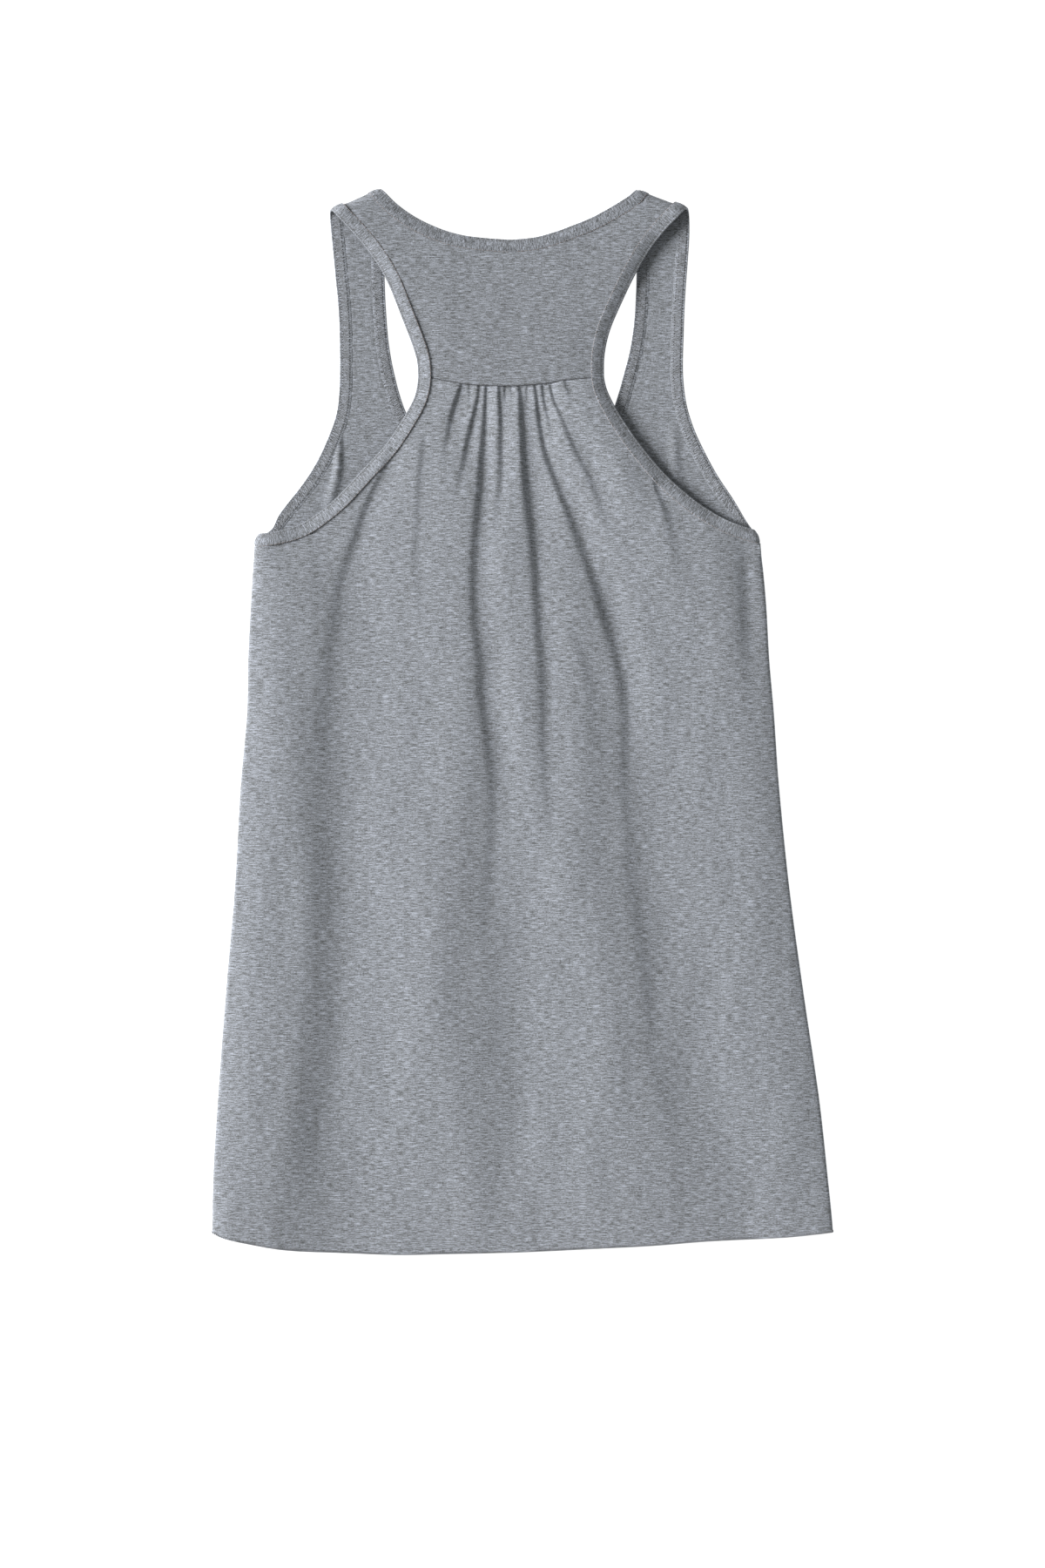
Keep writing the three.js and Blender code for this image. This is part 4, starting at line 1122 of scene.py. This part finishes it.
def heather(name, yarn, tone_and_painted_shade, contrast, offset):
    """Melange jersey: a weighted sum of streaks along the courses gives its colour and its bump."""
    nodes = Nodes(name)
    uv = nodes.add("ShaderNodeUVMap", {"uv_map": "pattern"}).outputs[0]
    mixed = None
    for across, along, weight, shift in YARNS[yarn]["streaks"]:
        layer = nodes.math("MULTIPLY", nodes.noise(uv, across, along, 2, 0.6, offset + shift), weight)
        mixed = layer if mixed is None else nodes.math("ADD", mixed, layer)
    wisps = nodes.noise(uv, WISPS["across"], WISPS["along"], 1, 0.5, offset)
    wisps = nodes.math("MAXIMUM", nodes.math("SUBTRACT", wisps, WISPS["from"]), 0)
    wisps = nodes.math("SUBTRACT", nodes.math("MULTIPLY", wisps, WISPS["strength"]), WISPS["evened"])
    mixed = nodes.math("ADD", mixed, wisps)
    # Some cloths' greys are scaled down here as painted shade.
    middle = YARNS[yarn]["middle"] * tone_and_painted_shade
    stops = [(place, shade(middle * (1 + change * contrast), blue)) for place, change, blue in HEATHER_STOPS]
    nodes.link(nodes.ramp(mixed, stops), "Base Color")
    bump = nodes.add("ShaderNodeBump", Height=mixed, Strength=0.5, Distance=0.3 * MM)
    nodes.link(bump.outputs[0], "Normal")
    nodes.set(Roughness=0.95, Sheen_Weight=0.12, Sheen_Roughness=0.5, Specular_IOR_Level=0.15)
    return nodes.material


def thread(name, light, dark):
    """Spun polyester thread with a fine twist."""
    nodes = Nodes(name)
    uv = nodes.add("ShaderNodeUVMap", {"uv_map": "pattern"}).outputs[0]
    twist = nodes.noise(uv, 0.5, 0.35, 1, 0.5)
    nodes.link(nodes.ramp(twist, [(0.35, dark), (0.65, light)]), "Base Color")
    bump = nodes.add("ShaderNodeBump", Height=twist, Strength=0.4, Distance=0.1 * MM)
    nodes.link(bump.outputs[0], "Normal")
    nodes.set(Roughness=0.7, Specular_IOR_Level=0.3)
    return nodes.material


def floor_material():
    nodes = Nodes("floor_paper")
    place = nodes.add("ShaderNodeTexCoord").outputs["Object"]
    grain = nodes.add("ShaderNodeTexNoise", Vector=place, Scale=40.0, Detail=2.0).outputs["Fac"]
    nodes.link(nodes.ramp(grain, [(0.3, (0.60, 0.60, 0.60)), (0.7, (0.62, 0.62, 0.62))]), "Base Color")
    nodes.set(Roughness=1.0, Specular_IOR_Level=0.0, Emission_Color=(1, 1, 1, 1), Emission_Strength=0.85)
    return nodes.material


# Building the garment

CLOTH = {name: heather(name, **look) for name, look in CLOTHS.items()}
THREAD = {name: thread(name, *colours) for name, colours in THREADS.items()}

BACK_ARMS = [SEAMS[side]["back_arm"] for side in SIGN]
YOKE_ARMS = [SEAMS[side]["yoke_arm"] for side in SIGN]
YOKE_EDGES = [SEAMS[side][seam] for side in SIGN for seam in ("yoke_arm", "back_neck")]
FRONT_EDGES = [SEAMS[side][seam] for side in SIGN for seam in ("front_arm", "front_neck")]


def yoke_seam_ditch(x, y):
    away = np.abs(y - read(YOKE_SEAM, "y", x))
    return -YOKE_DITCH["depth"] * bell(away, YOKE_DITCH["half"])


def back_relief(x, y):
    soft = soft_relief(x, y, SEEDS["back_waves"]) * smooth((GATHERS_TOP - y) / SOFT_FADE)
    relief = soft + seam_relief(x, y, BACK_ARMS, SEEDS["back_puckers"])
    relief = relief + yoke_seam_ditch(x, y) + armhole_fall(x, y, BACK_ARMS)
    return relief * clear_of_sides(x, y)


def yoke_relief(x, y):
    fall = armhole_fall(x, y, YOKE_ARMS) * smooth((YOKE_FALL_TOP - y) / YOKE_FALL_FADE)
    soft = YOKE_SOFTNESS * soft_relief(x, y, SEEDS["yoke_waves"])
    return soft + seam_relief(x, y, YOKE_EDGES, SEEDS["yoke_puckers"]) + yoke_seam_ditch(x, y) + fall


def front_relief(x, y):
    """Kept at or over the laid cloth, because the front's outside rests on the surface."""
    raised = seam_relief(x, y, FRONT_EDGES, SEEDS["front_puckers"]) + FRONT_RISE
    return np.maximum(raised, 0) + front_ridges(x, y)


back_pattern = back_body_pattern()
back_body = add_panel("back_body_cloth", [back_pattern], lay_back, back_relief, CLOTH["jersey_body"])
back_yoke = add_panel("back_yoke_cloth", yoke_patterns(), lay_yoke, yoke_relief, CLOTH["jersey_yoke"])
front_panel = add_panel("front_panel_cloth", front_patterns(), lay_front, front_relief, CLOTH["jersey_front"])
LOOPS = {"neck": neck_loop(), "left": armhole_loop("left"), "right": armhole_loop("right")}
neck_binding = add_binding("neck_binding_band", LOOPS["neck"], CLOTH["binding_neck"], SEEDS["neck_band"])
left_binding, right_binding = (
    add_binding("armhole_binding_band_" + side, LOOPS[side], CLOTH["binding_armhole"], SEEDS[side + "_band"])
    for side in SIGN
)

# Needle rows of each band: their thread, how far from the seam line they run, on the band's outside (1)
# or inside (-1), how far from its middle, and their stitches
NEEDLE_ROWS = {
    "inner_stitches": {
        "thread": "thread_tan", "at": -0.3, "face": 1, "height": 0.42,
        "pitch": 2.6, "length": 2.3, "radius": 0.15,
    },
    "outer_stitches": {
        "thread": "thread_pale", "at": 6.6, "face": 1, "height": 0.5,
        "pitch": 2.6, "length": 2.1, "radius": 0.14,
    },
    "inside_inner_stitches": {
        "thread": "thread_dark_and_seam_shade", "at": 1.5, "face": -1, "height": 0.62,
        "pitch": 1.8, "length": 0.95, "radius": 0.24,
    },
    "inside_outer_stitches": {
        "thread": "thread_dark_and_seam_shade", "at": 6.2, "face": -1, "height": 0.66,
        "pitch": 1.8, "length": 0.95, "radius": 0.24,
    },
}
LOOPER = {"pitch": 2.6, "radius": 0.17, "height": 0.78, "from": 1.5, "to": 6.2, "steps": 5, "bow": 0.5}
YOKE_THREAD = {"radius": 0.2, "lift": 0.12, "points": 200}


def band_stitches(name, loop, row):
    """Separate stitches along one needle row of a band."""
    place, outside = loop.laid(row["at"], row["face"] * row["height"])
    line = closed(soften(place, BAND["soften"]))
    return add_stitches(name, line, closed(outside * row["face"]), row, THREAD[row["thread"]])


def band_looper(name, loop):
    """The thread of the covering stitch, on the band's inside."""
    crossings = int(loop.run[-1] / (LOOPER["pitch"] / 2))
    at = np.arange(crossings * LOOPER["steps"] + 1) / LOOPER["steps"]
    swing = np.abs((at + 1) % 2 - 1)
    distance = LOOPER["from"] + (LOOPER["to"] - LOOPER["from"]) * (0.5 - 0.5 * np.cos(math.pi * swing))
    run = at * LOOPER["pitch"] / 2 + LOOPER["bow"] * np.sin(2 * math.pi * swing)
    lanes = []
    for edge in (LOOPER["from"], LOOPER["to"]):
        place, outside = loop.laid(edge, -LOOPER["height"])
        lanes.append((closed(soften(place, BAND["soften"])), closed(-outside)))
    share = ((distance - LOOPER["from"]) / (LOOPER["to"] - LOOPER["from"]))[:, None]
    (inner, normals), (outer, _) = ([sample(values, loop.run, run) for values in lane] for lane in lanes)
    line = inner * (1 - share) + outer * share
    return add_thread(name, line, normals, LOOPER["radius"], THREAD["thread_grey"])


def band_sewing(name, loop):
    rows = [band_stitches(f"{name}_{row}", loop, sizes) for row, sizes in NEEDLE_ROWS.items()]
    return [*rows, band_looper(name + "_looper_thread", loop)]


def yoke_seam_thread_and_shade():
    """The seam's thread, drawn down into the ditch between the yoke and the gathers, in a near-black colour
    that also paints the shade along that ditch.
    """
    x = np.linspace(BACK_ARMHOLE["left"][-1][0], BACK_ARMHOLE["right"][-1][0], YOKE_THREAD["points"])
    y = read(YOKE_SEAM, "y", x)
    height = YOKE_HEIGHT + WALL / 2 - YOKE_DITCH["depth"] + YOKE_THREAD["lift"]
    line = np.stack([x, y, np.full_like(x, height)], -1)
    normals = np.tile((0.0, 0.0, 1.0), (len(x), 1))
    return add_thread("yoke_seam_thread_and_shade", line, normals, YOKE_THREAD["radius"], THREAD["thread_dark_and_seam_shade"])


# A near-black seam thread that also paints the shade in the ditch at the yoke seam.
yoke_seam = yoke_seam_thread_and_shade()
neck_sewing = band_sewing("neck", LOOPS["neck"])
left_sewing = band_sewing("left_armhole", LOOPS["left"])
right_sewing = band_sewing("right_armhole", LOOPS["right"])

# Overlocked hem edges: thread wound round the raw edge in slanting turns
OVERLOCK = {
    "pitch": 1.3, "reach": 1.0, "inside": 0.6, "radius": 0.2, "slant": 0.5, "turn_points": 9, "thick": 0.75,
    "clear": 0.25,
}


def overlock(name, x, edge_y, lay):
    """Slanting turns of thread round an edge that runs along x."""
    place, normal = laid_with_normals(lay, x, edge_y + OVERLOCK["inside"])
    run, pitch = run_along(place), OVERLOCK["pitch"]
    at = np.arange(pitch, run[-1] - pitch, pitch / OVERLOCK["turn_points"])
    centre, tangent, sideways, outward = path_frames(place, normal, run, at)
    turn = at / pitch * 2 * math.pi
    thick = np.minimum(OVERLOCK["thick"], centre[:, 2] - OVERLOCK["clear"])
    line = (
        centre
        + sideways * (OVERLOCK["reach"] * np.cos(turn))[:, None]
        + outward * (thick * np.sin(turn))[:, None]
        + tangent * (OVERLOCK["slant"] * np.cos(turn))[:, None]
    )
    normals = sideways * np.cos(turn)[:, None] + outward * np.sin(turn)[:, None]
    return add_thread(name, line, normals, OVERLOCK["radius"], THREAD["thread_grey"])


hem_x = back_pattern[0][0]
back_hem = overlock("back_hem_overlock", hem_x, row_at(hem_at(0), hem_x), lay_back)
hem_ends = [front_side_seam(side, front_hem(SIGN[side] * HEM_CORNER_X)) for side in SIGN]
front_hem_x = np.linspace(*hem_ends, 200)
front_hem_edge = overlock("front_hem_overlock", front_hem_x, front_hem(front_hem_x), lay_front)

# Each piece on the root body, in place of its CAD node


def dress(piece, node, with_pieces):
    """Puts a sheet and its sewing on the root body and hides the CAD node that the sheet stands in for."""
    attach(piece, "root")
    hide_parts(node)
    for sewing in with_pieces:
        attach(sewing, "root")


dress(front_panel, "front_panel", [front_hem_edge])
dress(back_body, "back_body_gathered", [back_hem, yoke_seam])
dress(back_yoke, "back_yoke", [])
dress(neck_binding, "neck_binding", neck_sewing)
for binding, node, sewing in (
    (left_binding, "armhole_binding_left", left_sewing),
    (right_binding, "armhole_binding_right", right_sewing),
):
    dress(binding, node, sewing)

# Floor, light and camera

FLOOR_DROP = 0.2
FLOOR_HALF = 4000
VIEW = {"centre": (-0.3, -40.9), "height": 1030.2, "distance": 3000, "sensor": 36.0}
KEY = {"strength": 5.8, "elevation": 27, "from_azimuth": 174, "softness": 32, "colour": (0.98, 0.98, 1.0)}
FILL = {"strength": 0.3, "colour": (0.98, 1.0, 0.99)}


def add_floor():
    corners = np.array([(x, y, 0) for x, y in ((-1, -1), (1, -1), (1, 1), (-1, 1))], float)
    corners = corners * FLOOR_HALF - (0, 0, FLOOR_DROP)
    floor = add_mesh("floor", corners, np.array([[0, 1, 2, 3]]), corners[:, :2], floor_material())


def add_light():
    light = bpy.data.lights.new("key", "SUN")
    light.energy = KEY["strength"]
    light.angle = math.radians(KEY["softness"])
    light.color = KEY["colour"]
    lamp = bpy.data.objects.new("key", light)
    bpy.context.collection.objects.link(lamp)
    azimuth, elevation = math.radians(KEY["from_azimuth"]), math.radians(KEY["elevation"])
    towards = Vector((
        math.cos(azimuth) * math.cos(elevation), math.sin(azimuth) * math.cos(elevation), math.sin(elevation)
    ))
    lamp.rotation_mode = "QUATERNION"
    lamp.rotation_quaternion = towards.to_track_quat("Z", "Y")
    lamp.location = towards
    world = bpy.data.worlds.new("fill")
    world.use_nodes = True
    background = world.node_tree.nodes["Background"]
    background.inputs["Color"].default_value = (*FILL["colour"], 1)
    background.inputs["Strength"].default_value = FILL["strength"]
    bpy.context.scene.world = world


def add_camera():
    """Looks straight down; the picture's long side is upright and VIEW's height fills it."""
    camera = bpy.data.cameras.new("camera")
    camera.sensor_fit = "VERTICAL"
    camera.sensor_height = VIEW["sensor"]
    camera.sensor_width = VIEW["sensor"]
    camera.lens = VIEW["sensor"] * VIEW["distance"] / VIEW["height"]
    camera.clip_end = 100
    holder = bpy.data.objects.new("camera", camera)
    holder.location = (VIEW["centre"][0] * MM, VIEW["centre"][1] * MM, VIEW["distance"] * MM)
    bpy.context.collection.objects.link(holder)
    bpy.context.scene.camera = holder


add_floor()
add_light()
add_camera()
bpy.context.scene.view_settings.view_transform = "Standard"
